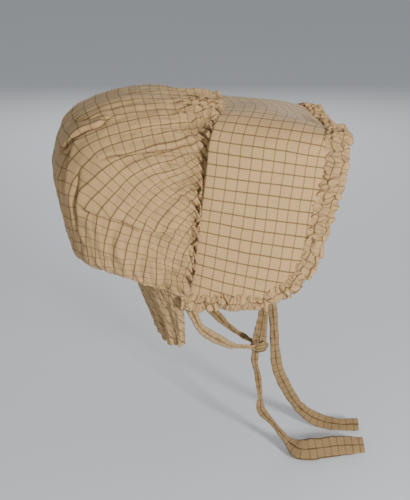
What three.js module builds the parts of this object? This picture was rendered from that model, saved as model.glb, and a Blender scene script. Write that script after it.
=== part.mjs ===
// A soft cotton poke bonnet: a deep brim bent over the head, a full gathered crown, a frill round the brim,
// a short curtain at the nape, and two ties knotted under the chin.
// Millimetres, +Z up, +X towards the face opening, -Y towards the wearer's right.
// The origin is where the bonnet rests on the top of the head, under the seam between brim and crown.

import * as THREE from 'three';

// Brim panel. Depth runs forward from the seam, girth runs round the arch from its top centre.
const BRIM_DEPTH = 132;
const BRIM_HALF_GIRTH = 271;
const BRIM_WALL = 2;
const BRIM_PITCH = 7.5;
const SEAM_SETBACK = 24;
const TOP_RISE = 1;
const CORNER_DEPTH = 62;
const CORNER_HEIGHT = 76;
const GIRTH_STEP = 4;
const BRIM_COLUMNS = 46;
const BRIM_ROWS = 7;

// Depth of the panel's front edge, from the top centre down to the rounded corner.
const FRONT_DEPTHS = [
  { girth: 0, depth: 128 },
  { girth: 45, depth: 128 },
  { girth: 78, depth: 129 },
  { girth: 104, depth: 139 },
  { girth: 130, depth: 136 },
  { girth: 165, depth: 131 },
  { girth: 195, depth: 128 },
];

// The top of the arch leads its sides, most at the centre and no more past this girth.
const TOP_LEAD = 27;
const TOP_LEAD_REACH = 104;

// Cross sections of the brim, a row for each, from the seam to the front edge.
// part is the share of the depth and lift raises the top centre. Slopes are in degrees below level:
// valley at the top centre, wall on the side, toe what the lower end adds.
// shoulder is the girth at which the top turns down, and turn the girth that this takes.
const BRIM_SECTIONS = [
  { part: 0.0, lift: 0, valley: 1, shoulder: 78, turn: 120, wall: 87, toe: 6 },
  { part: 0.4, lift: 0, valley: 0, shoulder: 77, turn: 112, wall: 86, toe: 9 },
  { part: 0.7, lift: -8, valley: -7, shoulder: 73, turn: 80, wall: 85, toe: 12 },
  { part: 1.0, lift: -24, valley: -15, shoulder: 73, turn: 34, wall: 85, toe: 14 },
];

// Frill: a gathered strip that carries the brim on past its edge.
const FRILL_WALL = 1.4;
const FRILL_GATHERS = 56;
const FRILL_GATHER_COLUMNS = 4;
const FRILL_INNER_WAVE = 0.8;
const FRILL_OUTER_WAVE = 2.6;
const FRILL_FLARE = 0.1;
const FRILL_CLEARANCE = 1.2;

// Width of the frill from the ear, at place 0, to the top centre, at place 1.
const FRILL_WIDTHS = [
  { place: 0.0, width: 18 },
  { place: 0.2, width: 16 },
  { place: 0.4, width: 21 },
  { place: 0.6, width: 26 },
  { place: 0.8, width: 19 },
  { place: 1.0, width: 17 },
];

// Crown: its centre line from the seam, over the top, down the back and in to the nape.
// half is half the width of the rib there, and square how boxy the rib is.
const CROWN_WALL = 1.6;
const CROWN_COLUMNS = 80;
const CROWN_ROWS = 16;
const CROWN_BOXINESS = 0.8;
const CROWN_LINE = [
  { x: 0, z: 1, half: 94, square: 0.1 },
  { x: -24, z: 9, half: 98, square: 0.2 },
  { x: -60, z: 17, half: 102, square: 0.3 },
  { x: -104, z: 18, half: 106, square: 0.4 },
  { x: -146, z: 8, half: 108, square: 0.6 },
  { x: -179, z: -15, half: 108, square: 0.9 },
  { x: -195, z: -53, half: 107, square: 1.1 },
  { x: -192, z: -96, half: 105, square: 1.2 },
  { x: -183, z: -134, half: 102, square: 1.2 },
  { x: -170, z: -158, half: 98, square: 1.1 },
  { x: -142, z: -168, half: 95, square: 0.6 },
  { x: -106, z: -184, half: 92, square: 0.2 },
];
const SEAM_BLEND = 0.2;
const SEAM_CLEARANCE = 2.2;
const NECK_EDGE_BACK = 8;
const NECK_EDGE_RISE = 3;

// Gathers of the crown: how many there are round the seam, how high they stand, and how far they run
// back from the seam and up from the neck edge, as shares of the crown's centre line. Both kinds rise
// softly from their edge over the last share.
const CROWN_GATHERS = 20;
const SEAM_GATHER_HEIGHT = 2.6;
const SEAM_GATHER_REACH = 0.32;
const NAPE_GATHER_HEIGHT = 2.0;
const NAPE_GATHER_REACH = 0.16;
const GATHER_START = 0.05;

// Main folds of the crown, the same on both sides. Each is a soft furrow from one place on the side to
// another, and reach is how far it fades out. The folds fade between the two widths towards the top and back.
const CROWN_FOLDS = [
  { fromX: -173, fromZ: -89, toX: -62, toZ: -118, depth: 4, reach: 8 },
  { fromX: -140, fromZ: -34, toX: -30, toZ: -23, depth: 3, reach: 7 },
  { fromX: -190, fromZ: -40, toX: -141, toZ: -2, depth: 4, reach: 8 },
  { fromX: -169, fromZ: -51, toX: -170, toZ: -140, depth: 4, reach: 8 },
  { fromX: -155, fromZ: -143, toX: -70, toZ: -148, depth: 2.5, reach: 7 },
];
const FOLD_INNER_HALF = 20;
const FOLD_OUTER_HALF = 50;

// Curtain at the nape: the places of its lower edge at the front corners and at the centre back.
const CURTAIN_WALL = 1.2;
const CURTAIN_FRONT = { x: -48, half: 62, z: -274 };
const CURTAIN_BACK = { x: -75, z: -281 };
const CURTAIN_FOLDS = 15;
const CURTAIN_WAVE = 3.4;
const CURTAIN_CLEARANCE = 2.6;
const CURTAIN_COLUMNS = 50;
const CURTAIN_ROWS = 4;
const CURTAIN_ROUNDNESS = 0.8;

// Knot under the chin: its centre and half its size each way.
const KNOT = { x: 51, y: -4, z: -317, alongX: 9, alongY: 7.5, alongZ: 6.5 };
const KNOT_PLEATS = 9;
const KNOT_PLEAT_HEIGHT = 0.07;
const KNOT_COLUMNS = 18;
const KNOT_ROWS = 8;

// Ribbons. Each row is a point of the centre line with the width there and the turn of the flat side,
// in degrees: 0 faces the wearer's right and 90 faces up or along the ribbon's own side.
const TIE_WALL = 1.2;
const TIE_STEPS = 18;
const TAIL_LEFT_STEPS = 48;
const TAIL_RIGHT_STEPS = 38;
const FAR_TIE_END = 5;
const TIE_RIGHT = [
  { x: -50, y: -84, z: -217, width: 11, turn: 10 },
  { x: -43, y: -79, z: -233, width: 9, turn: 5 },
  { x: -34, y: -71, z: -251, width: 8, turn: 10 },
  { x: -20, y: -60, z: -267, width: 12, turn: 0 },
  { x: -5, y: -47, z: -283, width: 11, turn: 0 },
  { x: 10, y: -34, z: -297, width: 9, turn: -5 },
  { x: 25, y: -20, z: -308, width: 6, turn: 0 },
  { x: 40.5, y: -10, z: -316, width: 6, turn: 0 },
];
const TAIL_LEFT = [
  { x: 50, y: -6, z: -309, width: 15, turn: 0 },
  { x: 52, y: -8, z: -291, width: 13, turn: 5 },
  { x: 54, y: -6, z: -270, width: 11, turn: 10 },
  { x: 57, y: -2, z: -254, width: 11, turn: 30 },
  { x: 62, y: 5, z: -247, width: 11, turn: 50 },
  { x: 66, y: 8, z: -256, width: 11, turn: 20 },
  { x: 69, y: 6, z: -275, width: 11, turn: 0 },
  { x: 71, y: 4, z: -300, width: 11, turn: 0 },
  { x: 73, y: 3, z: -329, width: 13, turn: 5 },
  { x: 76, y: 3, z: -356, width: 13, turn: 0 },
  { x: 86, y: 5, z: -381, width: 13, turn: 0 },
  { x: 100, y: 8, z: -408, width: 13, turn: -10 },
  { x: 118, y: 12, z: -431, width: 15, turn: 10 },
  { x: 139, y: 11, z: -446, width: 19, turn: 40 },
  { x: 164, y: 2, z: -449, width: 17, turn: 50 },
  { x: 191, y: -2, z: -449, width: 16, turn: 50 },
];
const TAIL_RIGHT = [
  { x: 43, y: -8, z: -326, width: 9, turn: 0 },
  { x: 45, y: -8, z: -340, width: 8, turn: 10 },
  { x: 48, y: -10, z: -357, width: 7, turn: 0 },
  { x: 51, y: -14, z: -387, width: 7, turn: 20 },
  { x: 52, y: -18, z: -405, width: 11, turn: 0 },
  { x: 65, y: -26, z: -419, width: 7, turn: 20 },
  { x: 76, y: -34, z: -432, width: 8, turn: 30 },
  { x: 86, y: -44, z: -441, width: 14, turn: 35 },
  { x: 98, y: -56, z: -446, width: 25, turn: 50 },
  { x: 121, y: -57, z: -446, width: 25, turn: 50 },
  { x: 148, y: -55, z: -447, width: 22, turn: 50 },
  { x: 180, y: -56, z: -448, width: 16, turn: 55 },
];

// The cloth's colour, and how rough it looks where it is smooth, creased and gathered.
const COTTON = 0xb9a283;
const SMOOTH_CLOTH = 0.85;
const CREASED_CLOTH = 0.88;
const GATHERED_CLOTH = 0.9;

const DEGREE = Math.PI / 180;

// A table read between its rows by a smooth curve through them. Gives an object with every column.
function readTable(rows, key, value) {
  const last = rows.length - 1;
  let index = 0;
  while (index < last - 1 && value > rows[index + 1][key]) index += 1;
  const from = rows[index];
  const to = rows[index + 1];
  const before = rows[Math.max(index - 1, 0)];
  const after = rows[Math.min(index + 2, last)];
  const span = to[key] - from[key];
  const share = THREE.MathUtils.clamp((value - from[key]) / span, 0, 1);
  const result = {};
  for (const column of Object.keys(from)) {
    const slopeFrom = ((to[column] - before[column]) / (to[key] - before[key])) * span;
    const slopeTo = ((after[column] - from[column]) / (after[key] - from[key])) * span;
    result[column] = hermite(from[column], slopeFrom, to[column], slopeTo, share);
  }
  return result;
}

function hermite(start, slopeStart, end, slopeEnd, share) {
  const square = share * share;
  const cube = square * share;
  return (
    start * (2 * cube - 3 * square + 1) +
    slopeStart * (cube - 2 * square + share) +
    end * (3 * square - 2 * cube) +
    slopeEnd * (cube - square)
  );
}

// Rows numbered evenly from 0 to 1, so that a table can be read along its length.
function evenRows(rows) {
  return rows.map((row, index) => ({ ...row, place: index / (rows.length - 1) }));
}

// A sheet of points, columns along and rows across.
function makeSheet(columns, rows, pointAt) {
  const points = [];
  for (let column = 0; column <= columns; column += 1) {
    for (let row = 0; row <= rows; row += 1) {
      points.push(pointAt(column / columns, row / rows));
    }
  }
  return { columns, rows, points };
}

function sheetNormals(sheet) {
  const { columns, rows, points } = sheet;
  const at = (column, row) => points[column * (rows + 1) + row];
  const normals = [];
  for (let column = 0; column <= columns; column += 1) {
    for (let row = 0; row <= rows; row += 1) {
      const along = new THREE.Vector3().subVectors(
        at(Math.min(column + 1, columns), row),
        at(Math.max(column - 1, 0), row),
      );
      const across = new THREE.Vector3().subVectors(
        at(column, Math.min(row + 1, rows)),
        at(column, Math.max(row - 1, 0)),
      );
      normals.push(along.cross(across).normalize());
    }
  }
  return normals;
}

// The sheet with every point moved along its normal by a height in millimetres.
function raiseSheet(sheet, heightAt) {
  const { columns, rows, points } = sheet;
  const normals = sheetNormals(sheet);
  const raised = points.map((point, index) => {
    const column = Math.floor(index / (rows + 1));
    const row = index % (rows + 1);
    const height = heightAt(column / columns, row / rows);
    return point.clone().addScaledVector(normals[index], height);
  });
  return { columns, rows, points: raised };
}

// A closed cloth wall of even thickness, half on each side of the sheet.
function clothWall(sheet, thickness) {
  const { columns, rows, points } = sheet;
  const normals = sheetNormals(sheet);
  const count = points.length;
  const positions = new Float32Array(count * 6);
  points.forEach((point, index) => {
    const half = normals[index].clone().multiplyScalar(thickness / 2);
    point.clone().add(half).toArray(positions, index * 3);
    point.clone().sub(half).toArray(positions, (count + index) * 3);
  });
  const at = (column, row) => column * (rows + 1) + row;
  const faces = [];
  const addQuad = (a, b, c, d) => faces.push(a, b, c, a, c, d);
  for (let column = 0; column < columns; column += 1) {
    for (let row = 0; row < rows; row += 1) {
      const a = at(column, row);
      const b = at(column + 1, row);
      const c = at(column + 1, row + 1);
      const d = at(column, row + 1);
      addQuad(a, b, c, d);
      addQuad(count + a, count + d, count + c, count + b);
    }
  }
  const addRim = (from, to) => addQuad(from, count + from, count + to, to);
  for (let column = 0; column < columns; column += 1) {
    addRim(at(column, 0), at(column + 1, 0));
    addRim(at(column + 1, rows), at(column, rows));
  }
  for (let row = 0; row < rows; row += 1) {
    addRim(at(0, row + 1), at(0, row));
    addRim(at(columns, row), at(columns, row + 1));
  }
  const geometry = new THREE.BufferGeometry();
  geometry.setAttribute('position', new THREE.BufferAttribute(positions, 3));
  geometry.setIndex(faces);
  geometry.computeVertexNormals();
  return geometry;
}

// A point of the brim's cloth, also just past its edges, from its depth and its girth.
// The section is walked from the top centre, each short step turned by the slope there.
function brimPoint(depth, girth) {
  const share = THREE.MathUtils.clamp(depth / BRIM_DEPTH, 0, 1);
  const section = readTable(BRIM_SECTIONS, 'part', share);
  const reach = Math.abs(girth);
  const steps = Math.max(1, Math.ceil(reach / GIRTH_STEP));
  const step = reach / steps;
  let across = 0;
  let drop = 0;
  for (let index = 0; index < steps; index += 1) {
    const slope = brimSlope(section, (index + 0.5) * step) * DEGREE;
    across += step * Math.cos(slope);
    drop += step * Math.sin(slope);
  }
  const lead = Math.cos((Math.PI / 2) * Math.min(1, reach / TOP_LEAD_REACH)) ** 2;
  const forward = depth - SEAM_SETBACK + TOP_LEAD * lead;
  const up = TOP_RISE + section.lift - drop;
  const pitch = BRIM_PITCH * DEGREE;
  return new THREE.Vector3(
    forward * Math.cos(pitch) + up * Math.sin(pitch),
    Math.sign(girth) * across,
    up * Math.cos(pitch) - forward * Math.sin(pitch),
  );
}

function brimSlope(section, girth) {
  const { valley, shoulder, turn, wall, toe } = section;
  const turned = THREE.MathUtils.smoothstep(girth, shoulder - turn / 2, shoulder + turn / 2);
  const lower = Math.max(0, (2 * girth) / BRIM_HALF_GIRTH - 1);
  return THREE.MathUtils.lerp(valley, wall, turned) + toe * lower * lower;
}

// The brim's cut edge from the lower end of the seam to the top centre of the front, on the flat pattern:
// a straight lower edge, a rounded corner and a straight front. way points out of the cloth.
const LOWER_EDGE = FRONT_DEPTHS[FRONT_DEPTHS.length - 1].depth - CORNER_DEPTH;
const FRONT_EDGE = BRIM_HALF_GIRTH - CORNER_HEIGHT;
const CORNER_EDGE = (Math.PI / 2) * Math.hypot(CORNER_DEPTH, CORNER_HEIGHT) * Math.SQRT1_2;
const HALF_EDGE = LOWER_EDGE + CORNER_EDGE + FRONT_EDGE;

function brimEdge(distance) {
  if (distance < LOWER_EDGE) {
    return { depth: distance, girth: BRIM_HALF_GIRTH, wayDepth: 0, wayGirth: 1 };
  }
  if (distance > LOWER_EDGE + CORNER_EDGE) {
    const { girth, depth } = readTable(FRONT_DEPTHS, 'girth', HALF_EDGE - distance);
    return { depth, girth, wayDepth: 1, wayGirth: 0 };
  }
  const angle = ((distance - LOWER_EDGE) / CORNER_EDGE) * (Math.PI / 2);
  const outDepth = Math.sin(angle) / CORNER_DEPTH;
  const outGirth = Math.cos(angle) / CORNER_HEIGHT;
  const length = Math.hypot(outDepth, outGirth);
  return {
    depth: LOWER_EDGE + CORNER_DEPTH * Math.sin(angle),
    girth: FRONT_EDGE + CORNER_HEIGHT * Math.cos(angle),
    wayDepth: outDepth / length,
    wayGirth: outGirth / length,
  };
}

// The brim's columns follow the front edge, so that the rounded corners have enough of them.
function makeBrim() {
  const corner = CORNER_EDGE + FRONT_EDGE;
  const sheet = makeSheet(BRIM_COLUMNS, BRIM_ROWS, (around, along) => {
    const offset = (around * 2 - 1) * corner;
    const edge = brimEdge(HALF_EDGE - Math.abs(offset));
    return brimPoint(edge.depth * along, Math.sign(offset) * edge.girth);
  });
  return clothWall(sheet, BRIM_WALL);
}

function makeFrill() {
  const columns = FRILL_GATHERS * FRILL_GATHER_COLUMNS;
  const sheet = makeSheet(columns, 1, (around, across) => {
    const offset = (around * 2 - 1) * HALF_EDGE;
    const edge = brimEdge(HALF_EDGE - Math.abs(offset));
    const { width } = readTable(FRILL_WIDTHS, 'place', 1 - Math.abs(around * 2 - 1));
    const flare = 1 + FRILL_FLARE * Math.sin(around * FRILL_GATHERS * Math.PI);
    const out = FRILL_CLEARANCE + across * width * flare;
    const girth = edge.girth + edge.wayGirth * out;
    return brimPoint(edge.depth + edge.wayDepth * out, Math.sign(offset) * girth);
  });
  const waved = raiseSheet(sheet, (around, across) => {
    const height = THREE.MathUtils.lerp(FRILL_INNER_WAVE, FRILL_OUTER_WAVE, across);
    return height * Math.cos(around * FRILL_GATHERS * 2 * Math.PI);
  });
  return clothWall(waved, FRILL_WALL);
}

// A point of the crown's cloth. Each rib of the crown runs from the neck edge at one ear, over a point of
// the centre line, to the other ear, and the first rib is the brim's own back edge.
function crownPoint(around, along) {
  const line = readTable(evenRows(CROWN_LINE), 'place', along);
  const ear = brimPoint(-SEAM_CLEARANCE, BRIM_HALF_GIRTH);
  const footX = ear.x - NECK_EDGE_BACK * along;
  const footZ = ear.z + NECK_EDGE_RISE * along;
  const angle = around * (Math.PI / 2);
  const power = 1 / (1 + line.square * CROWN_BOXINESS);
  const rise = Math.max(0, Math.cos(angle)) ** power;
  const spread = Math.abs(Math.sin(angle)) ** power;
  const half = THREE.MathUtils.lerp(line.half, ear.y, around ** 4);
  const rib = new THREE.Vector3(
    footX + (line.x - footX) * rise,
    Math.sign(around) * spread * half,
    footZ + (line.z - footZ) * rise,
  );
  const seam = brimPoint(-SEAM_CLEARANCE, around * BRIM_HALF_GIRTH);
  const blend = THREE.MathUtils.smoothstep(along, 0, SEAM_BLEND);
  return seam.lerp(rib, blend);
}

// How far gathers and folds move the crown's cloth out at a place.
function crownHeight(around, along) {
  const wave = Math.cos(around * CROWN_GATHERS * Math.PI);
  const seam = THREE.MathUtils.smoothstep(along, 0, GATHER_START) * (1 - along / SEAM_GATHER_REACH);
  const ahead = 1 - along;
  const nape = THREE.MathUtils.smoothstep(ahead, 0, GATHER_START) * (1 - ahead / NAPE_GATHER_REACH);
  const point = crownPoint(around, along);
  const side = THREE.MathUtils.smoothstep(Math.abs(point.y), FOLD_INNER_HALF, FOLD_OUTER_HALF);
  let height = wave * SEAM_GATHER_HEIGHT * Math.max(0, seam);
  height += wave * NAPE_GATHER_HEIGHT * Math.max(0, nape);
  for (const fold of CROWN_FOLDS) {
    height -= side * foldDepth(fold, point);
  }
  return height;
}

// How deep a fold is at a point: full halfway along it, fading to its ends and to both sides.
function foldDepth(fold, point) {
  const runX = fold.toX - fold.fromX;
  const runZ = fold.toZ - fold.fromZ;
  const length = Math.hypot(runX, runZ);
  const pastX = point.x - fold.fromX;
  const pastZ = point.z - fold.fromZ;
  const share = (pastX * runX + pastZ * runZ) / (length * length);
  const aside = (pastX * runZ - pastZ * runX) / length;
  const ends = Math.sin(Math.PI * THREE.MathUtils.clamp(share, 0, 1));
  return fold.depth * ends * Math.exp(-((aside / fold.reach) ** 2));
}

function makeCrown() {
  const sheet = makeSheet(CROWN_COLUMNS, CROWN_ROWS, (around, along) => crownPoint(around * 2 - 1, along));
  const gathered = raiseSheet(sheet, (around, along) => crownHeight(around * 2 - 1, along));
  return clothWall(gathered, CROWN_WALL);
}

function makeCurtain() {
  const sheet = makeSheet(CURTAIN_COLUMNS, CURTAIN_ROWS, (around, along) => {
    const side = around * 2 - 1;
    const angle = side * (Math.PI / 2);
    const top = crownPoint(side, 1);
    top.z -= CURTAIN_CLEARANCE;
    const back = Math.cos(angle) ** CURTAIN_ROUNDNESS;
    const low = new THREE.Vector3(
      THREE.MathUtils.lerp(CURTAIN_FRONT.x, CURTAIN_BACK.x, back),
      CURTAIN_FRONT.half * Math.sin(angle),
      THREE.MathUtils.lerp(CURTAIN_FRONT.z, CURTAIN_BACK.z, back),
    );
    return top.lerp(low, along);
  });
  const folded = raiseSheet(sheet, (around, along) => {
    const side = around * 2 - 1;
    return CURTAIN_WAVE * along * Math.cos(side * CURTAIN_FOLDS * Math.PI);
  });
  return clothWall(folded, CURTAIN_WALL);
}

// A flat ribbon along a table of points.
function makeRibbon(rows, steps) {
  const table = evenRows(rows);
  const place = (share) => {
    const row = readTable(table, 'place', share);
    return new THREE.Vector3(row.x, row.y, row.z);
  };
  const sheet = makeSheet(steps, 1, (along, across) => {
    const row = readTable(table, 'place', along);
    const way = place(Math.min(1, along + 0.01)).sub(place(Math.max(0, along - 0.01))).normalize();
    const side = new THREE.Vector3(0, -1, 0);
    side.addScaledVector(way, -side.dot(way)).normalize();
    const flat = new THREE.Vector3().crossVectors(way, side);
    const turn = row.turn * DEGREE;
    flat.multiplyScalar(Math.cos(turn)).addScaledVector(side, Math.sin(turn));
    const offset = (across - 0.5) * row.width;
    return place(along).addScaledVector(flat, offset);
  });
  return clothWall(sheet, TIE_WALL);
}

// The far tie is the near one mirrored, and it ends on the other side of the knot.
function makeFarTie() {
  const rows = TIE_RIGHT.map((row) => ({ ...row, y: -row.y, turn: -row.turn }));
  rows[rows.length - 1].y = FAR_TIE_END;
  return makeRibbon(rows, TIE_STEPS);
}

function makeKnot() {
  const geometry = new THREE.SphereGeometry(1, KNOT_COLUMNS, KNOT_ROWS);
  geometry.rotateX(Math.PI / 2);
  const position = geometry.attributes.position;
  for (let index = 0; index < position.count; index += 1) {
    const x = position.getX(index);
    const y = position.getY(index);
    const z = position.getZ(index);
    const pleat = 1 + KNOT_PLEAT_HEIGHT * Math.cos(Math.atan2(y, x) * KNOT_PLEATS) * (1 - z * z);
    position.setXYZ(index, x * pleat * KNOT.alongX, y * pleat * KNOT.alongY, z * KNOT.alongZ);
  }
  geometry.translate(KNOT.x, KNOT.y, KNOT.z);
  return geometry;
}

function addPiece(group, name, geometry, roughness) {
  const material = new THREE.MeshStandardMaterial({ color: COTTON, roughness, metalness: 0 });
  const mesh = new THREE.Mesh(geometry, material);
  mesh.name = name;
  group.add(mesh);
}

const bonnet = new THREE.Group();
addPiece(bonnet, 'brim', makeBrim(), SMOOTH_CLOTH);
addPiece(bonnet, 'brim_frill', makeFrill(), GATHERED_CLOTH);
addPiece(bonnet, 'crown', makeCrown(), CREASED_CLOTH);
addPiece(bonnet, 'neck_curtain', makeCurtain(), GATHERED_CLOTH);
addPiece(bonnet, 'tie_right', makeRibbon(TIE_RIGHT, TIE_STEPS), CREASED_CLOTH);
addPiece(bonnet, 'tie_left', makeFarTie(), CREASED_CLOTH);
addPiece(bonnet, 'tie_knot', makeKnot(), CREASED_CLOTH);
addPiece(bonnet, 'tail_left', makeRibbon(TAIL_LEFT, TAIL_LEFT_STEPS), CREASED_CLOTH);
addPiece(bonnet, 'tail_right', makeRibbon(TAIL_RIGHT, TAIL_RIGHT_STEPS), CREASED_CLOTH);

export default bonnet;
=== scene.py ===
"""A soft cotton sunbonnet with a poke brim, worked out as cloth.

A deep brim is bent over the head, a full crown is gathered to it, a ruched frill runs round the edge, a
short curtain hangs at the nape, and two ties are knotted under the chin. Shapes are grids of points in
millimetres, and go into Blender in metres. +X is the face opening, -Y the wearer's right and +Z up.
"""

import logging
import math
from dataclasses import dataclass, field
from enum import Enum
from typing import Sequence

import bpy
import numpy as np
from mathutils import Matrix, Vector


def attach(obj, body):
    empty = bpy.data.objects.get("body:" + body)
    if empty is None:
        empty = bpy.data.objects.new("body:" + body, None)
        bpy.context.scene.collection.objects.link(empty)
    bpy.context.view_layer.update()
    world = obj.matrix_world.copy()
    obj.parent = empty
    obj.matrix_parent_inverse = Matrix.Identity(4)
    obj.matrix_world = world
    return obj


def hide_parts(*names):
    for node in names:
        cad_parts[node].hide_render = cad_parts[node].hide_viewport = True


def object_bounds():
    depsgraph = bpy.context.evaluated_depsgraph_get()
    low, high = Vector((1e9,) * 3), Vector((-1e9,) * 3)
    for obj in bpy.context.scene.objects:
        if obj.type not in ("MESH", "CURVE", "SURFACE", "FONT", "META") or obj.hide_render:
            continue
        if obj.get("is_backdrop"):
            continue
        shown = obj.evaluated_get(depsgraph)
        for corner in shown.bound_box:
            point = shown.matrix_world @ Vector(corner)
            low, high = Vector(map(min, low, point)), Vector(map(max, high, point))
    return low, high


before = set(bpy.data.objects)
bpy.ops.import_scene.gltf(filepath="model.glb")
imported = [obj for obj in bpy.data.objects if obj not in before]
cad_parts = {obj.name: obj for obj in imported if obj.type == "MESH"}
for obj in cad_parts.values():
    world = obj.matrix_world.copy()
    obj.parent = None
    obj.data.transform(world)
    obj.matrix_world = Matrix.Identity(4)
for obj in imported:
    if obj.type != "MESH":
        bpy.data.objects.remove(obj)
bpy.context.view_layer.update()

Array = np.ndarray
Colour = tuple[float, float, float]

MM = 0.001
BODY = "root"
CHECK = 12.7
CLOTH_MAP = "cloth"
WORN_LAYER = "worn"
# Painted shade: a layer that darkens each piece in its creases, valleys and hollows.
PAINTED_SHADE_LAYER = "painted_shade"

log = logging.getLogger("bonnet")


def smoothstep(value: Array, low: Array | float, high: Array | float) -> Array:
    """A soft step: 0 up to low, 1 from high, and 3s2 - 2s3 of the share s between them."""
    share = np.clip((value - low) / (high - low), 0.0, 1.0)
    return share * share * (3.0 - 2.0 * share)


def mix(start: Array | float, end: Array | float, share: Array | float) -> Array:
    """The value at a share of the way from start to end."""
    return start + (end - start) * share


def unit(vectors: Array) -> Array:
    """The vectors at length one."""
    return vectors / np.maximum(np.linalg.norm(vectors, axis=-1, keepdims=True), 1e-9)


def dot(first: Array, second: Array) -> Array:
    """The dot product of two fields of vectors."""
    return (first * second).sum(-1)


class Table:
    """Rows of named columns with a smooth curve through them, read by the first column."""

    def __init__(self, columns: str, rows: Sequence[Sequence[float]], even: bool = False) -> None:
        """Keeps the rows and their slopes.

        Args:
            columns: The names of the columns, with a space between them.
            rows: One row for each section or place.
            even: Numbers the rows evenly from 0 to 1 in a first column of their own.
        """
        values = np.array(rows, float)
        self.names = columns.split()
        if even:
            values = np.column_stack([np.linspace(0.0, 1.0, len(values)), values])
            self.names = ["place", *self.names]
        index = np.arange(len(values))
        ahead = np.minimum(index + 1, len(values) - 1)
        behind = np.maximum(index - 1, 0)
        self.values = values
        self.keys = values[:, 0]
        self.slopes = (values[ahead] - values[behind]) / (self.keys[ahead] - self.keys[behind])[:, None]

    def read(self, key: Array | float) -> dict[str, Array]:
        """Reads every column by cubic Hermite curves between the rows.

        Args:
            key: Values of the first column, of any shape.

        Returns:
            The columns by name, each of the key's shape.
        """
        key = np.asarray(key, float)
        index = np.clip(np.searchsorted(self.keys, key) - 1, 0, len(self.keys) - 2)
        span = self.keys[index + 1] - self.keys[index]
        share = np.clip((key - self.keys[index]) / span, 0.0, 1.0)[..., None]
        square = share * share
        cube = square * share
        result = self.values[index] * (2 * cube - 3 * square + 1)
        result = result + self.slopes[index] * span[..., None] * (cube - 2 * square + share)
        result = result + self.values[index + 1] * (3 * square - 2 * cube)
        result = result + self.slopes[index + 1] * span[..., None] * (cube - square)
        return dict(zip(self.names, np.moveaxis(result, -1, 0)))


def ripples(first: Array, second: Array, lengths: tuple[float, float], seed: int, count: int = 16) -> Array:
    """Unevenness without a pattern: a sum of sine waves, each with its own way, length and start.

    Args:
        first: Distances the first way, in millimetres.
        second: Distances the second way.
        lengths: About how long the waves are in the two ways.
        seed: Chooses the waves.
        count: How many waves are summed.

    Returns:
        Heights that are mostly between -1.5 and 1.5.
    """
    rng = np.random.default_rng(seed)
    total = np.zeros(np.broadcast(first, second).shape)
    for _ in range(count):
        way = rng.uniform(0.0, 2.0 * math.pi)
        rate = 2.0 * math.pi * rng.uniform(0.7, 1.4)
        start = rng.uniform(0.0, 2.0 * math.pi)
        run = first * math.cos(way) / lengths[0] + second * math.sin(way) / lengths[1]
        total += np.sin(rate * run + start)
    return total / math.sqrt(count)


def creases(first: Array, second: Array, lengths: tuple[float, float], seed: int) -> Array:
    """Crumples: rounded hills with sharp valleys between them, where ripples cross nought.

    Args:
        first: Distances the first way, in millimetres.
        second: Distances the second way.
        lengths: About how far apart the valleys are in the two ways.
        seed: Chooses the hills.

    Returns:
        Heights that are mostly between -0.6 and 1.
    """
    return np.abs(ripples(first, second, (lengths[0] * 2.0, lengths[1] * 2.0), seed, 9)) - 0.6


def sheet_normals(points: Array) -> Array:
    """The unit normals of a grid of points: the step along its first axis crossed with its second."""
    return unit(np.cross(np.gradient(points, axis=0), np.gradient(points, axis=1)))


def raise_sheet(points: Array, heights: Array) -> Array:
    """The grid with each point moved along its normal by its height."""
    return points + sheet_normals(points) * heights[..., None]


def sheet_steps(points: Array, axis: int) -> Array:
    """Distances run along an axis of a grid: the steps between neighbours, summed from the start."""
    steps = np.linalg.norm(np.diff(points, axis=axis), axis=-1)
    start = [(0, 0), (0, 0)]
    start[axis] = (1, 0)
    return np.pad(steps, start).cumsum(axis=axis)


def flat_area(cloth: Array) -> float:
    """The area of a grid of places on the flat cloth: half the cross of each cell's diagonals, summed."""
    one = cloth[1:, 1:] - cloth[:-1, :-1]
    other = cloth[:-1, 1:] - cloth[1:, :-1]
    return float(np.abs(one[..., 0] * other[..., 1] - one[..., 1] * other[..., 0]).sum() / 2.0)


def grid_faces(index: Array) -> Array:
    """The quads between neighbours of a grid of vertex numbers."""
    corners = [index[:-1, :-1], index[1:, :-1], index[1:, 1:], index[:-1, 1:]]
    return np.stack(corners, -1).reshape(-1, 4)


def add_mesh(
    name: str, points: Array, faces: Sequence[Sequence[int]], cloth: Array, layers: dict[str, Array]
) -> bpy.types.Object:
    """Makes a smooth mesh with the cloth's own places on it.

    Args:
        name: The piece's name.
        points: Its vertices in millimetres.
        faces: The vertex numbers of its faces.
        cloth: For each vertex, its place on the flat cloth in millimetres.
        layers: Values from 0 to 1 for each vertex, by the name that the finish reads them by.

    Returns:
        The new object, at the origin.
    """
    mesh = bpy.data.meshes.new(name)
    mesh.from_pydata((points * MM).tolist(), [], faces)
    corners = np.zeros(len(mesh.loops), np.int32)
    mesh.loops.foreach_get("vertex_index", corners)
    places = mesh.uv_layers.new(name=CLOTH_MAP)
    places.data.foreach_set("uv", (cloth / CHECK)[corners].astype(np.float32).ravel())
    for layer, values in layers.items():
        made = mesh.attributes.new(layer, "FLOAT", "POINT")
        made.data.foreach_set("value", values.astype(np.float32))
    mesh.polygons.foreach_set("use_smooth", np.ones(len(mesh.polygons), bool))
    mesh.validate()
    mesh.update()
    piece = bpy.data.objects.new(name, mesh)
    bpy.context.scene.collection.objects.link(piece)
    return piece


def grid_rim(index: Array) -> Array:
    """The vertex numbers round the edge of a grid, closed, with its faces on the right."""
    return np.concatenate([index[:, 0], index[-1, 1:], index[-2::-1, -1], index[0, -2::-1]])


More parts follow.
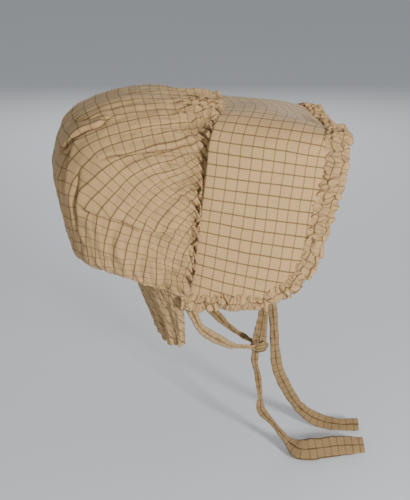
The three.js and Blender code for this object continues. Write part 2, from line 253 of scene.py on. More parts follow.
def add_wall(
    name: str,
    points: Array,
    cloth: Array,
    thickness: Array | float,
    worn: Array | float = 0.0,
    painted_shade: Array | float = 0.0,
) -> bpy.types.Object:
    """Makes a closed wall of cloth, half its thickness to each side of a grid, with a rim between.

    The face has all the grid's points and the back every second one, so the grid has odd counts.

    Args:
        name: The piece's name.
        points: The grid of the middle of the cloth, its normals pointing out.
        cloth: The grid's places on the flat cloth.
        thickness: The thickness in millimetres, for all or for each point.
        worn: How yellowed each point is.
        painted_shade: How much painted shade darkens each point, in its creases and hollows.

    Returns:
        The new object.
    """
    shape = points.shape[:2]
    half = sheet_normals(points) * (np.broadcast_to(thickness, shape) / 2.0)[..., None]
    coarse = (slice(None, None, 2), slice(None, None, 2))
    face = np.arange(points[..., 0].size).reshape(shape)
    back = face.size + np.arange(face[coarse].size).reshape(face[coarse].shape)
    outer, inner = grid_rim(face), grid_rim(back)
    sides = np.stack([outer[:-2:2], inner[:-1], inner[1:], outer[2::2], outer[1:-1:2]], -1)
    faces = [*grid_faces(face).tolist(), *grid_faces(back)[:, ::-1].tolist(), *sides.tolist()]

    def both(values: Array) -> Array:
        """A grid's values for the face and then for the back."""
        width = values.shape[2:]
        return np.concatenate([values.reshape(-1, *width), values[coarse].reshape(-1, *width)])

    vertices = np.concatenate([(points + half).reshape(-1, 3), (points - half)[coarse].reshape(-1, 3)])
    layers = {WORN_LAYER: worn, PAINTED_SHADE_LAYER: painted_shade}
    layers = {layer: both(np.broadcast_to(values, shape)) for layer, values in layers.items()}
    return add_mesh(name, vertices, faces, both(cloth), layers)


class Hold(Enum):
    """How a sheet of cloth is held."""

    STRETCHED = "stretched"
    GATHERED = "gathered"
    HUNG = "hung"


@dataclass(frozen=True)
class Cut:
    """The flat cloth that a piece was cut from, in millimetres."""

    width: float
    length: float
    hold: Hold
    area: float | None = None

    def declare(self) -> None:
        """Works out the cut's area and flat size in metres, and passes them nowhere.
        """
        area = None if self.area is None else self.area * MM * MM
        flat = (self.width * MM, self.length * MM)


class Wire:
    """A shader socket that takes part in sums. Each operator adds a Math node to its board."""

    def __init__(self, board: "Board", socket: bpy.types.NodeSocket) -> None:
        """Keeps the socket and the board that it is on."""
        self.board = board
        self.socket = socket

    def math(self, operation: str, *values: "Wire | float") -> "Wire":
        """One Math node of this and the values, in that order."""
        inputs = dict(enumerate((self, *values)))
        return self.board.node("ShaderNodeMath", {"operation": operation}, inputs)

    def sibling(self, name: str) -> "Wire":
        """Another output of the same node."""
        return Wire(self.board, self.socket.node.outputs[name])

    def __add__(self, other: "Wire | float") -> "Wire":
        """Adds."""
        return self.math("ADD", other)

    def __sub__(self, other: "Wire | float") -> "Wire":
        """Subtracts."""
        return self.math("SUBTRACT", other)

    def __rsub__(self, other: float) -> "Wire":
        """Subtracts this from a number."""
        return (self * -1.0) + other

    def __mul__(self, other: "Wire | float") -> "Wire":
        """Multiplies."""
        return self.math("MULTIPLY", other)

    __radd__ = __add__
    __rmul__ = __mul__

    def fraction(self) -> "Wire":
        """What is left after the whole number."""
        return self.math("FRACT")

    def floor(self) -> "Wire":
        """The whole number."""
        return self.math("FLOOR")

    def absolute(self) -> "Wire":
        """The size without its sign."""
        return self.math("ABSOLUTE")

    def sine(self) -> "Wire":
        """The sine."""
        return self.math("SINE")

    def step(self, low: float, high: float, start: float = 0.0, end: float = 1.0) -> "Wire":
        """Runs softly from start to end as this goes from low to high."""
        settings = {"interpolation_type": "SMOOTHSTEP"}
        limits = {"Value": self, "From Min": low, "From Max": high, "To Min": start, "To Max": end}
        return self.board.node("ShaderNodeMapRange", settings, limits)


class Board:
    """A material's nodes."""

    def __init__(self, name: str) -> None:
        """Starts a material with no nodes."""
        self.material = bpy.data.materials.new(name)
        self.material.use_nodes = True
        self.tree = self.material.node_tree
        self.tree.nodes.clear()

    def node(
        self, kind: str, settings: dict | None = None, inputs: dict | None = None, output: int | str = 0
    ) -> Wire:
        """Adds a node.

        Args:
            kind: The node's type.
            settings: What is set on the node itself, first.
            inputs: Values or wires by the name or number of the socket.
            output: The output that is returned.

        Returns:
            The wire of that output.
        """
        made = self.tree.nodes.new(kind)
        for name, value in (settings or {}).items():
            setattr(made, name, value)
        for key, value in (inputs or {}).items():
            if isinstance(value, Wire):
                self.tree.links.new(value.socket, made.inputs[key])
            else:
                made.inputs[key].default_value = value
        return Wire(self, made.outputs[output])

    def close(self, shader: Wire) -> bpy.types.Material:
        """Joins the shader to the material's surface, and returns the material."""
        end = self.tree.nodes.new("ShaderNodeOutputMaterial")
        self.tree.links.new(shader.socket, end.inputs["Surface"])
        return self.material

    def blend(
        self, first: Wire | Colour, second: Wire | Colour, share: Wire | float, mode: str = "MIX"
    ) -> Wire:
        """Mixes two colours.

        Args:
            first: The colour at share 0.
            second: The colour at share 1.
            share: How much of the second shows.
            mode: The way of mixing.

        Returns:
            The mixed colour.
        """
        colours = [value if isinstance(value, Wire) else (*value, 1.0) for value in (first, second)]
        settings = {"data_type": "RGBA", "blend_type": mode}
        return self.node("ShaderNodeMix", settings, {0: share, 6: colours[0], 7: colours[1]}, 2)

    def noise(self, place: Wire, scale: float, detail: float = 2.0) -> Wire:
        """Soft noise from 0 to 1 on a vector."""
        return self.node("ShaderNodeTexNoise", None, {"Vector": place, "Scale": scale, "Detail": detail})

    def scaled(self, place: Wire, factors: Colour) -> Wire:
        """The vector times factors of its own for each part."""
        return self.node("ShaderNodeVectorMath", {"operation": "MULTIPLY"}, {0: place, 1: factors})


@dataclass(frozen=True)
class WindowpaneCotton:
    """Plain woven cotton with a thin brown and olive windowpane check. Colours are linear."""

    ground: Colour = (0.452, 0.303, 0.134)
    pinker: Colour = (0.476, 0.284, 0.134)
    greener: Colour = (0.414, 0.303, 0.118)
    row_line: Colour = (0.122, 0.066, 0.024)
    column_line: Colour = (0.150, 0.098, 0.032)
    yellowed: Colour = (0.330, 0.215, 0.100)
    # The dark brown that painted shade mixes towards in creases and hollows.
    painted_shade_colour: Colour = (0.150, 0.095, 0.045)
    row_width: float = 1.3
    column_width: float = 1.15
    stripe_width: float = 5.5
    row_strength: float = 0.86
    column_strength: float = 0.74
    # Painted shade over the whole piece: its copy of the cloth is darkened by this factor.
    shade: float = 1.0
    stripe_strength: float = 0.3
    stain_strength: float = 0.55
    painted_shade_strength: float = 0.6
    thread: float = 0.46
    bump_distance: float = 0.0002

    def line(self, place: Wire, width: float) -> Wire:
        """A line on each whole number: the distance to it in millimetres, softly cut at half the width."""
        distance = ((place + 0.5).fraction() - 0.5).absolute() * CHECK
        return distance.step(width * 0.95, width * 0.2)

    def make(self, name: str) -> bpy.types.Material:
        """Builds the material.

        Args:
            name: The material's name.

        Returns:
            The material, which reads the piece's cloth map and wear layer.
        """
        board = Board(name)
        cloth = board.node("ShaderNodeUVMap", {"uv_map": CLOTH_MAP})
        parts = board.node("ShaderNodeSeparateXYZ", None, {0: cloth})
        along, across = parts, parts.sibling("Y")
        sway = (board.noise(cloth, 0.55) - 0.5) * 0.09
        columns = self.line(along + sway, self.column_width)
        rows = self.line(across - sway, self.row_width)
        slub_along = board.noise(board.scaled(cloth, (0.7, 17.0, 0.0)), 1.0, 3.0)
        slub_across = board.noise(board.scaled(cloth, (17.0, 0.7, 0.0)), 1.0, 3.0)
        patches = board.noise(cloth, 0.62, 3.0)
        cell = board.node("ShaderNodeCombineXYZ", None, {0: along.floor(), 1: across.floor()})
        cell_tint = board.node("ShaderNodeTexWhiteNoise", {"noise_dimensions": "2D"}, {"Vector": cell})
        base = board.blend(self.greener, self.pinker, patches.step(0.34, 0.66))
        base = board.blend(base, self.ground, 0.35 + cell_tint * 0.4)
        stripes = self.line(along + (sway + 0.5), self.stripe_width)
        stripes = stripes + self.line(across + 0.5, self.stripe_width)
        base = board.blend(base, self.pinker, stripes * self.stripe_strength)
        grey = (slub_along + slub_across) * 0.19 + 0.81
        lightness = board.node("ShaderNodeCombineXYZ", None, {0: grey, 1: grey, 2: grey})
        base = board.blend(base, lightness, 1.0, "MULTIPLY")
        worn = board.node("ShaderNodeAttribute", {"attribute_name": WORN_LAYER}, None, "Fac")
        stain = (worn * (0.4 + board.noise(cloth, 0.9, 4.0) * 0.9)).step(0.0, 1.0)
        base = board.blend(base, self.yellowed, stain * self.stain_strength)
        rows_seen = rows * (self.row_strength + (slub_along - 0.5) * 0.5)
        columns_seen = columns * (self.column_strength + (slub_across - 0.5) * 0.5)
        colour = board.blend(base, self.column_line, columns_seen)
        colour = board.blend(colour, self.row_line, rows_seen)
        # Painted shade: the piece's shade layer mixes the colour towards a dark brown in its creases and
        # hollows.
        painted_shade = board.node("ShaderNodeAttribute", {"attribute_name": PAINTED_SHADE_LAYER}, None, "Fac")
        colour = board.blend(colour, self.painted_shade_colour, painted_shade * self.painted_shade_strength)
        # Painted shade: the whole colour times the piece's shade.
        if self.shade != 1.0:
            colour = board.blend(colour, (self.shade,) * 3, 1.0, "MULTIPLY")
        turns = 2.0 * math.pi * CHECK / self.thread
        weave = ((along * turns).sine() + (across * turns).sine()) * 0.25 + 0.5
        fuzz = board.noise(cloth, 40.0, 3.0)
        height = weave * 0.6 + fuzz * 0.8 + (slub_along + slub_across) * 0.5
        bump = board.node(
            "ShaderNodeBump", None, {"Strength": 0.45, "Distance": self.bump_distance, "Height": height}
        )
        shader = board.node(
            "ShaderNodeBsdfPrincipled",
            None,
            {
                "Base Color": colour,
                "Roughness": 0.84 + fuzz * 0.14,
                "Specular IOR Level": 0.25,
                "Sheen Weight": 0.12,
                "Sheen Roughness": 0.5,
                "Normal": bump,
            },
        )
        return board.close(shader)


# Painted shade: the straps and the knot darkened as a whole, for the shadow of the head above them.
SHADOWED_COTTON = WindowpaneCotton(shade=0.62)


@dataclass(frozen=True)
class PaleFloor:
    """A plain pale floor."""

    colour: Colour = (0.66, 0.68, 0.70)
    roughness: float = 0.9

    def make(self, name: str) -> bpy.types.Material:
        """Builds the material."""
        board = Board(name)
        place = board.node("ShaderNodeTexCoord", None, None, "Object")
        tint = board.noise(place, 1.4)
        darker = tuple(part * 0.97 for part in self.colour)
        colour = board.blend(self.colour, darker, tint)
        shader = board.node(
            "ShaderNodeBsdfPrincipled", None, {"Base Color": colour, "Roughness": self.roughness}
        )
        return board.close(shader)


@dataclass
class BrimForm:
    """The curved sheet that the brim, the frill and the crown's front edge lie on.

    Depth runs forward from the seam and girth round the arch from its top centre, below 0 on the wearer's
    right. Lengths are in millimetres and slopes in degrees below level.
    """

    depth: float = 132.0
    half_girth: float = 271.0
    pitch: float = 7.5
    setback: float = 24.0
    top_rise: float = 1.0
    top_lead: float = 27.0
    lead_reach: float = 104.0
    corner_depth: float = 62.0
    corner_height: float = 76.0
    walk_steps: int = 72
    sections: Table = field(
        default_factory=lambda: Table(
            "part lift valley shoulder turn wall toe",
            [
                (0.0, 0, 1, 78, 120, 87, 6),
                (0.4, 0, 0, 77, 112, 86, 9),
                (0.7, -8, -7, 73, 80, 85, 12),
                (1.0, -24, -15, 73, 34, 85, 14),
            ],
        )
    )
    front: Table = field(
        default_factory=lambda: Table(
            "girth depth",
            [(0, 128), (45, 128), (78, 129), (104, 139), (130, 136), (165, 131), (195, 128)],
        )
    )

    def __post_init__(self) -> None:
        """Works out the lengths of the half edge: straight lower edge, round corner, straight front."""
        self.lower_edge = self.front.values[-1, 1] - self.corner_depth
        self.front_edge = self.half_girth - self.corner_height
        quarter = math.hypot(self.corner_depth, self.corner_height) / math.sqrt(2.0)
        self.corner_edge = math.pi / 2.0 * quarter
        self.half_edge = self.lower_edge + self.corner_edge + self.front_edge

    def point(self, depth: Array | float, girth: Array | float) -> Array:
        """Places of the cloth, also just past its edges.

        The section is walked from the top centre in even steps. Each step goes across by its cosine and
        down by its sine, and its slope turns from the valley to the wall round the shoulder. The section
        is then moved forward by its depth and by the lead, and the whole is pitched nose down.

        Args:
            depth: Distances forward from the seam.
            girth: Distances round the arch.

        Returns:
            The points, with x, y and z on the last axis.
        """
        depth, girth = np.broadcast_arrays(np.asarray(depth, float), np.asarray(girth, float))
        row = self.sections.read(np.clip(depth / self.depth, 0.0, 1.0))
        reach = np.abs(girth)
        walked = reach[..., None] * ((np.arange(self.walk_steps) + 0.5) / self.walk_steps)
        start = (row["shoulder"] - row["turn"] / 2.0)[..., None]
        turned = smoothstep(walked, start, start + row["turn"][..., None])
        slope = mix(row["valley"][..., None], row["wall"][..., None], turned)
        lower = np.maximum(0.0, 2.0 * walked / self.half_girth - 1.0)
        slope = np.radians(slope + row["toe"][..., None] * lower * lower)
        step = reach / self.walk_steps
        across = step * np.cos(slope).sum(-1)
        drop = step * np.sin(slope).sum(-1)
        lead = np.cos(math.pi / 2.0 * np.minimum(1.0, reach / self.lead_reach)) ** 2
        forward = depth - self.setback + self.top_lead * lead
        rise = self.top_rise + row["lift"] - drop
        tilt = math.radians(self.pitch)
        x = forward * math.cos(tilt) + rise * math.sin(tilt)
        z = rise * math.cos(tilt) - forward * math.sin(tilt)
        return np.stack([x, np.sign(girth) * across, z], -1)

    def edge(self, distance: Array) -> tuple[Array, Array, Array, Array]:
        """The cut edge on the flat pattern, from the ear to the top centre of the front.

        Args:
            distance: Distances along the edge from the ear.

        Returns:
            The depth and girth there, and the way out of the cloth in depth and in girth.
        """
        angle = np.clip((distance - self.lower_edge) / self.corner_edge, 0.0, 1.0) * math.pi / 2.0
        out_depth = np.sin(angle) / self.corner_depth
        out_girth = np.cos(angle) / self.corner_height
        length = np.hypot(out_depth, out_girth)
        depth = self.lower_edge + self.corner_depth * np.sin(angle)
        girth = self.front_edge + self.corner_height * np.cos(angle)
        low = distance < self.lower_edge
        high = distance > self.lower_edge + self.corner_edge
        front_girth = np.clip(self.half_edge - distance, 0.0, self.front_edge)
        depth = np.where(low, distance, np.where(high, self.front.read(front_girth)["depth"], depth))
        girth = np.where(low, self.half_girth, np.where(high, front_girth, girth))
        return depth, girth, out_depth / length, out_girth / length


def dress(piece: bpy.types.Object, finish: WindowpaneCotton, slot: str, replaced: str) -> None:
    """Gives a piece its cloth, its slot, the solid that it stands for and the body that it rides on.

    Args:
        piece: The finished piece.
        finish: Its cloth.
        slot: The name of its material.
        replaced: The solid that it stands for.
    """
    piece.data.materials.append(finish.make(slot))
    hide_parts(replaced)
    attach(piece, BODY)
    log.info("%s: %d faces in %s", piece.name, len(piece.data.polygons), slot)


@dataclass
class Brim:
    """The stiffened panel round the face."""

    form: BrimForm
    name: str = "brim_panel"
    thickness: float = 2.0
    columns: int = 97
    rows: int = 401
    lap: float = 2.5
    pucker: float = 0.55
    sag: float = 0.7
    check_start: float = 3.0
    corner_share: float = 0.97
    grain_sag: float = 5.0
    grain: Table = field(
        default_factory=lambda: Table("low slope", [(0, 4.5), (0.3, 4.5), (0.5, 3.5), (0.75, 6.5), (1, 11)])
    )
    finish: WindowpaneCotton = WindowpaneCotton()

    def build(self) -> bpy.types.Object:
        """Makes the panel.

        Its grid runs forward along lines of even girth, and each line ends on the cut edge. The cloth
        sags a little between its threads, and puckers where the crown pulls on the seam and where the
        frill is sewn on.

        Returns:
            The panel.
        """
        form = self.form
        corner = form.corner_edge + form.front_edge
        offset = np.linspace(-corner, corner, self.rows)[None, :]
        share = np.linspace(0.0, 1.0, self.columns)[:, None]
        edge_depth, edge_girth, _, _ = form.edge(form.half_edge - np.abs(offset))
        depth = (edge_depth + self.lap) * share
        girth = np.sign(offset) * edge_girth * np.ones_like(share)
        points = form.point(depth, girth)
        height = self.sag * ripples(depth, girth, (70.0, 60.0), 3)
        gather = np.cos(2.0 * math.pi * girth / 8.5 + 1.5 * ripples(girth, 0.0 * depth, (40.0, 1.0), 5))
        height = height + self.pucker * gather * np.exp(-depth / 6.0)
        pull = ripples(girth, depth, (9.0, 14.0), 7)
        height = height + self.pucker * pull * np.exp(-(edge_depth - depth) / 7.0)
        low = np.abs(girth) / form.half_girth
        slope = np.radians(self.grain.read(low)["slope"])
        fall = depth * np.tan(slope) + self.grain_sag * low**2 * np.sin(math.pi * depth / form.depth)
        across = girth - np.sign(girth) * fall * smoothstep(low, 0.0, 0.3)
        cloth = np.stack([depth + self.check_start, across], -1)
        # Painted shade: the brim darkens within a few millimetres of the seam, where the crown meets it.
        painted_shade = 0.3 * np.exp(-depth / 5.0)
        return add_wall(self.name, raise_sheet(points, height), cloth, self.thickness, 0.0, painted_shade)

    def dress(self, piece: bpy.types.Object) -> None:
        """Gives the panel its cloth and works out the cut that it was made from."""
        dress(piece, self.finish, "brim_cloth", "brim")
        width, length = 2.0 * self.form.half_girth, self.form.depth + self.lap
        cut = Cut(width, length, Hold.STRETCHED, width * length * self.corner_share)
        cut.declare()


@dataclass
class Frill:
    """The ruched strip round the brim's edge, puffed between its two gathered edges."""

    form: BrimForm
    name: str = "edge_frill"
    thickness: float = 0.8
    columns: int = 1441
    rows: int = 31
    past_ear: float = 9.0
    lap: float = 3.6
    puff: float = 3.4
    fullness: float = 1.8
    cut_width: float = 21.0
    puff_height: float = 2.9
    crumple_height: float = 1.3
    wander: float = 1.5
    outer_scallop: float = 1.5
    inner_scallop: float = 1.1
    cloth_start: float = 4.0
    cloth_share: float = 1.1
    seed: int = 21
    widths: Table = field(
        default_factory=lambda: Table(
            "place width",
            [(0.0, 20), (0.2, 19), (0.4, 24), (0.6, 28), (0.72, 27), (0.8, 31), (0.88, 24), (1.0, 20)],
        )
    )
    # Painted shade: the frill's copy of the cloth is a little darker as a whole.
    finish: WindowpaneCotton = WindowpaneCotton(shade=0.97)

    def build(self) -> bpy.types.Object:
        """Makes the frill.

        The strip stands up between its edges like half a roll. Sharp valleys between rounded puffs run
        across it, with smaller crumples between them, and the puffs are pushed sideways and outwards
        unevenly, so that they lap over each other and both edges wander.

        Returns:
            The frill.
        """
        form = self.form
        length = 2.0 * form.half_edge
        run = np.linspace(-self.past_ear, length + self.past_ear, self.columns)[None, :]
        across = np.linspace(0.0, 1.0, self.rows)[:, None]
        width = self.widths.read(1.0 - np.abs(2.0 * run / length - 1.0))["width"]
        out = across * width
        lean = run + 5.0 * (across - 0.5) * ripples(run, 0.0 * run, (60.0, 1.0), self.seed)
        size = np.clip(1.0 + 0.4 * ripples(run, out, (26.0, 60.0), self.seed + 1), 0.4, 1.7)
        puffs = creases(lean, out, (5.2, 26.0), self.seed + 2) * size
        small = creases(run, out, (3.6, 6.0), self.seed + 3)
        rounded = np.sin(math.pi * np.clip(across, 0.0, 1.0)) ** 0.6
        height = self.puff * rounded + self.puff_height * puffs + self.crumple_height * small
        slide = self.wander * ripples(run, out, (9.0, 14.0), self.seed + 4)
        push = self.wander * ripples(run, out, (11.0, 12.0), self.seed + 5)
        scallop = creases(run, 0.0 * run, (6.5, 1.0), self.seed + 6)
        push = push + self.outer_scallop * (across**2) * scallop
        scallop = creases(run, 0.0 * run, (5.0, 1.0), self.seed + 7)
        push = push - self.inner_scallop * (1.0 - across) ** 2 * scallop
        offset = run - form.half_edge
        points = form.point(*self.flat_place(offset + slide, out - self.lap + push))
        base = form.point(*self.flat_place(offset, out - self.lap))
        points = points + sheet_normals(base) * (height + 0.6)[..., None]
        cloth_out = out * self.cloth_share + self.cloth_start
        cloth = np.stack(np.broadcast_arrays(run * self.fullness, cloth_out), -1)
        # Painted shade in the valleys between the puffs and crumples.
        painted_shade = np.clip(-(puffs + 0.5 * small) * 1.0 - 0.1, 0.0, 0.7)
        return add_wall(self.name, points, cloth, self.thickness, 0.25, painted_shade)

    def flat_place(self, offset: Array, reach: Array) -> tuple[Array, Array]:
        """The depth and girth of places along the edge and out from it.

        Args:
            offset: Distances along the edge from the top centre of the front.
            reach: Distances out from the edge.

        Returns:
            The depth and the girth, below 0 on the wearer's right.
        """
        edge_depth, edge_girth, out_depth, out_girth = self.form.edge(self.form.half_edge - np.abs(offset))
        return edge_depth + out_depth * reach, np.sign(offset) * (edge_girth + out_girth * reach)

    def dress(self, piece: bpy.types.Object) -> None:
        """Gives the frill its cloth and works out the cut that it was made from."""
        dress(piece, self.finish, "frill_cloth", "brim_frill")
        length = 2.0 * self.form.half_edge * self.fullness
        Cut(self.cut_width, length, Hold.GATHERED).declare()


@dataclass
class Furrow:
    """A fold as the crown's points see it.

    away is each point's signed distance, place how far along the fold its nearest point is from 0 to 1,
    and across the way over the fold to the lapping side.
    """

    away: Array
    place: Array
    across: Array


@dataclass(frozen=True)
class Fold:
    """A fold in the side of the crown, where the cloth on one side laps over a furrow.

    path runs through points (x, y, z) on the wearer's right, and the cloth to its left laps over. depth is
    how far the furrow sinks, reach how far it fades out, lip how far the lapping cloth stands up, and lap
    how far it slides over. A parting fold hides cloth, so that the check doesn't run on across it.
    """

    path: tuple[tuple[float, float, float], ...]
    depth: float
    reach: float
    lip: float = 0.0
    lap: float = 0.0
    parts: bool = False
    stretches: int = 18
    left_shift: tuple[float, float, float] = (-4.0, 0.0, 5.0)

    def see(self, points: Array, normals: Array, side: int) -> Furrow:
        """Measures the fold from the crown's points: the nearest of its stretches counts.

        Args:
            points: The crown's grid.
            normals: Its normals.
            side: 1 on the wearer's right, -1 for its like on the left, which lies a little higher.

        Returns:
            The fold as the points see it.
        """
        curve = Table("x y z", self.path, even=True).read(np.linspace(0.0, 1.0, self.stretches + 1))
        nodes = np.stack([curve["x"], curve["y"] * side, curve["z"]], -1)
        if side < 0:
            nodes = nodes + np.array(self.left_shift)
        best = np.full(points.shape[:2], 1e9)
        place = np.zeros(points.shape[:2])
        across = np.zeros(points.shape)
        sign = np.ones(points.shape[:2])
        for index, (start, end) in enumerate(zip(nodes, nodes[1:])):
            run = end - start
            share = np.clip((points - start) @ run / (run @ run), 0.0, 1.0)
            gap = points - start - share[..., None] * run
            away = np.linalg.norm(gap, axis=-1)
            nearer = away < best
            way = unit(np.cross(normals, run)) * side
            best = np.where(nearer, away, best)
            place = np.where(nearer, (index + share) / self.stretches, place)
            sign = np.where(nearer, np.sign(dot(gap, way)), sign)
            across = np.where(nearer[..., None], way, across)
        return Furrow(best * sign, place, across)

    def shape(self, furrow: Furrow) -> tuple[Array, Array, Array]:
        """Forms the fold: a pointed furrow, a lip beside it and the lip's slide over it.

        The fold deepens from nothing at both ends of its path.

        Args:
            furrow: The fold as the points see it.

        Returns:
            Heights along the normals, slides along the way across, and how dark the furrow is.
        """
        ends = smoothstep(furrow.place, 0.0, 0.18) * (1.0 - smoothstep(furrow.place, 0.82, 1.0))
        pit = ends * np.exp(-((np.abs(furrow.away) / self.reach) ** 1.3))
        lip = ends * np.exp(-(((furrow.away - 1.7 * self.reach) / (1.4 * self.reach)) ** 2))
        return self.lip * lip - self.depth * pit, -self.lap * lip, pit


CROWN_FOLDS = (
    Fold(
        (
            (-176, -88, -88), (-163, -94, -91), (-148, -96, -96), (-131, -99, -100), (-119, -100, -105),
            (-105, -98, -112), (-94, -98, -116), (-78, -99, -118), (-58, -98, -119),
        ),
        5.5, 3.0, 2.8, 3.6, True,
    ),
    Fold(
        (
            (-148, -84, -38), (-134, -84, -33), (-112, -83, -31), (-91, -80, -29), (-71, -76, -29),
            (-52, -72, -26), (-20, -70, -20),
        ),
        4.8, 2.4, 2.2, 2.4, True,
    ),
    Fold(((-130, -88, -40), (-105, -86, -37), (-80, -82, -37), (-50, -78, -35)), 3.0, 6.5, 1.0, 1.5),
    Fold(
        (
            (-192, -32, -46), (-185, -52, -32), (-174, -56, -20), (-158, -58, -10), (-146, -60, -6),
            (-136, -56, 1), (-127, -54, 6),
        ),
        6.0, 2.6, 2.6, 3.0, True,
    ),
    Fold(
        ((-184, -10, -16), (-163, -39, -5), (-153, -46, -1), (-142, -48, 2), (-126, -51, 4)),
        2.6, 2.2, 1.0, 0.6,
    ),
    Fold(((-168, -56, -14), (-177, -65, -31), (-181, -71, -43), (-184, -75, -64)), 3.0, 2.6, 1.2, 1.2),
    Fold(
        (
            (-166, -83, -42), (-169, -86, -55), (-171, -88, -69), (-175, -87, -86), (-175, -85, -100),
            (-172, -84, -122), (-166, -82, -146),
        ),
        4.2, 3.2, 1.8, 2.0, True,
    ),
    Fold(((-155, -92, -143), (-120, -96, -146), (-90, -96, -147), (-60, -96, -150)), 3.0, 2.6, 1.6, 2.0),
    Fold(((-133, -98, -106), (-136, -97, -122), (-141, -94, -142)), 1.6, 3.0, 0.8),
    Fold(((-105, -98, -116), (-110, -98, -130), (-116, -96, -146)), 1.6, 3.0, 0.8),
    Fold(((-118, -97, -94), (-95, -94, -74), (-72, -88, -58), (-50, -84, -50)), 2.6, 3.4, 1.4, 1.4),
    Fold(((-108, -98, -108), (-86, -97, -92), (-66, -94, -80), (-44, -90, -72)), 2.4, 3.0, 1.4, 1.4),
    Fold(((-88, -99, -116), (-70, -97, -102), (-46, -93, -92)), 2.2, 2.8, 1.2, 1.2),
    Fold(((-140, -72, -16), (-110, -68, -12), (-80, -64, -10), (-40, -60, -8)), 1.8, 3.2, 1.0, 0.8),
    Fold(((-120, -48, 4), (-90, -44, 5), (-60, -42, 3), (-28, -42, -1)), 1.8, 3.0, 1.0, 0.8),
    Fold(((-104, -14, 15), (-80, -12, 14), (-56, -12, 13), (-28, -12, 6)), 1.8, 3.0, 1.0, 0.8),
)

RIDGE_LINE = tuple(zip(*((x, z) for x, _, z in CROWN_FOLDS[0].path)))
GRAIN = (
    (-143, 5, -4), (-90, 10, -4), (-45, 5, -3), (-20, 3, 0), (-143, -10, -3), (-111, -11, -4), (-78, -12, -4),
    (-45, -14, -4), (-112, -31, 2), (-70, -29, 2), (-35, -24, 2), (-92, -45, 3), (-75, -46, 2),
    (-103, -47, 20), (-113, -51, 40), (-160, -50, 40), (-145, -47, 33), (-157, -68, 36), (-141, -63, 36),
    (-124, -56, 38), (-131, -80, 40), (-114, -75, 44), (-98, -66, 38), (-81, -61, 22), (-105, -91, 48),
    (-93, -81, 46), (-71, -83, 50), (-50, -60, 25), (-48, -80, 42), (-48, -100, 48), (-167, -108, 72),
    (-153, -107, 68), (-138, -118, 70), (-116, -126, 71), (-94, -127, 67), (-78, -127, 66), (-64, -129, 60),
    (-52, -118, 52), (-56, -141, 60), (-139, -151, 85), (-106, -152, 86), (-78, -154, 80), (-163, -2, 18),
    (-181, -19, 25), (-187, -31, 40), (-177, -45, 60), (-182, -71, 85), (-180, -100, 88), (-170, -128, 88),
    (-163, -155, 88), (-100, -175, 88), (-70, -190, 85), (-60, -170, 75),
)


@dataclass(frozen=True)
class Gather:
    """One size of gathers or crumples beside an edge of the crown.

    height is how high they stand, spacing how far apart their valleys are along the edge and run how long
    they are, reach how far from the edge they fade out, by the given power, and seed chooses them.
    """

    height: float
    spacing: float
    run: float
    reach: float
    power: float
    seed: int

    def hills(self, girth: Array, away: Array, seed: int) -> Array:
        """The crumples at their full height of one, by girth and distance away from the edge."""
        return creases(girth, away, (self.spacing, self.run), seed + self.seed)

    def fade(self, away: Array) -> Array:
        """What is left of the height at a distance from the edge."""
        return np.exp(-((away / self.reach) ** self.power))


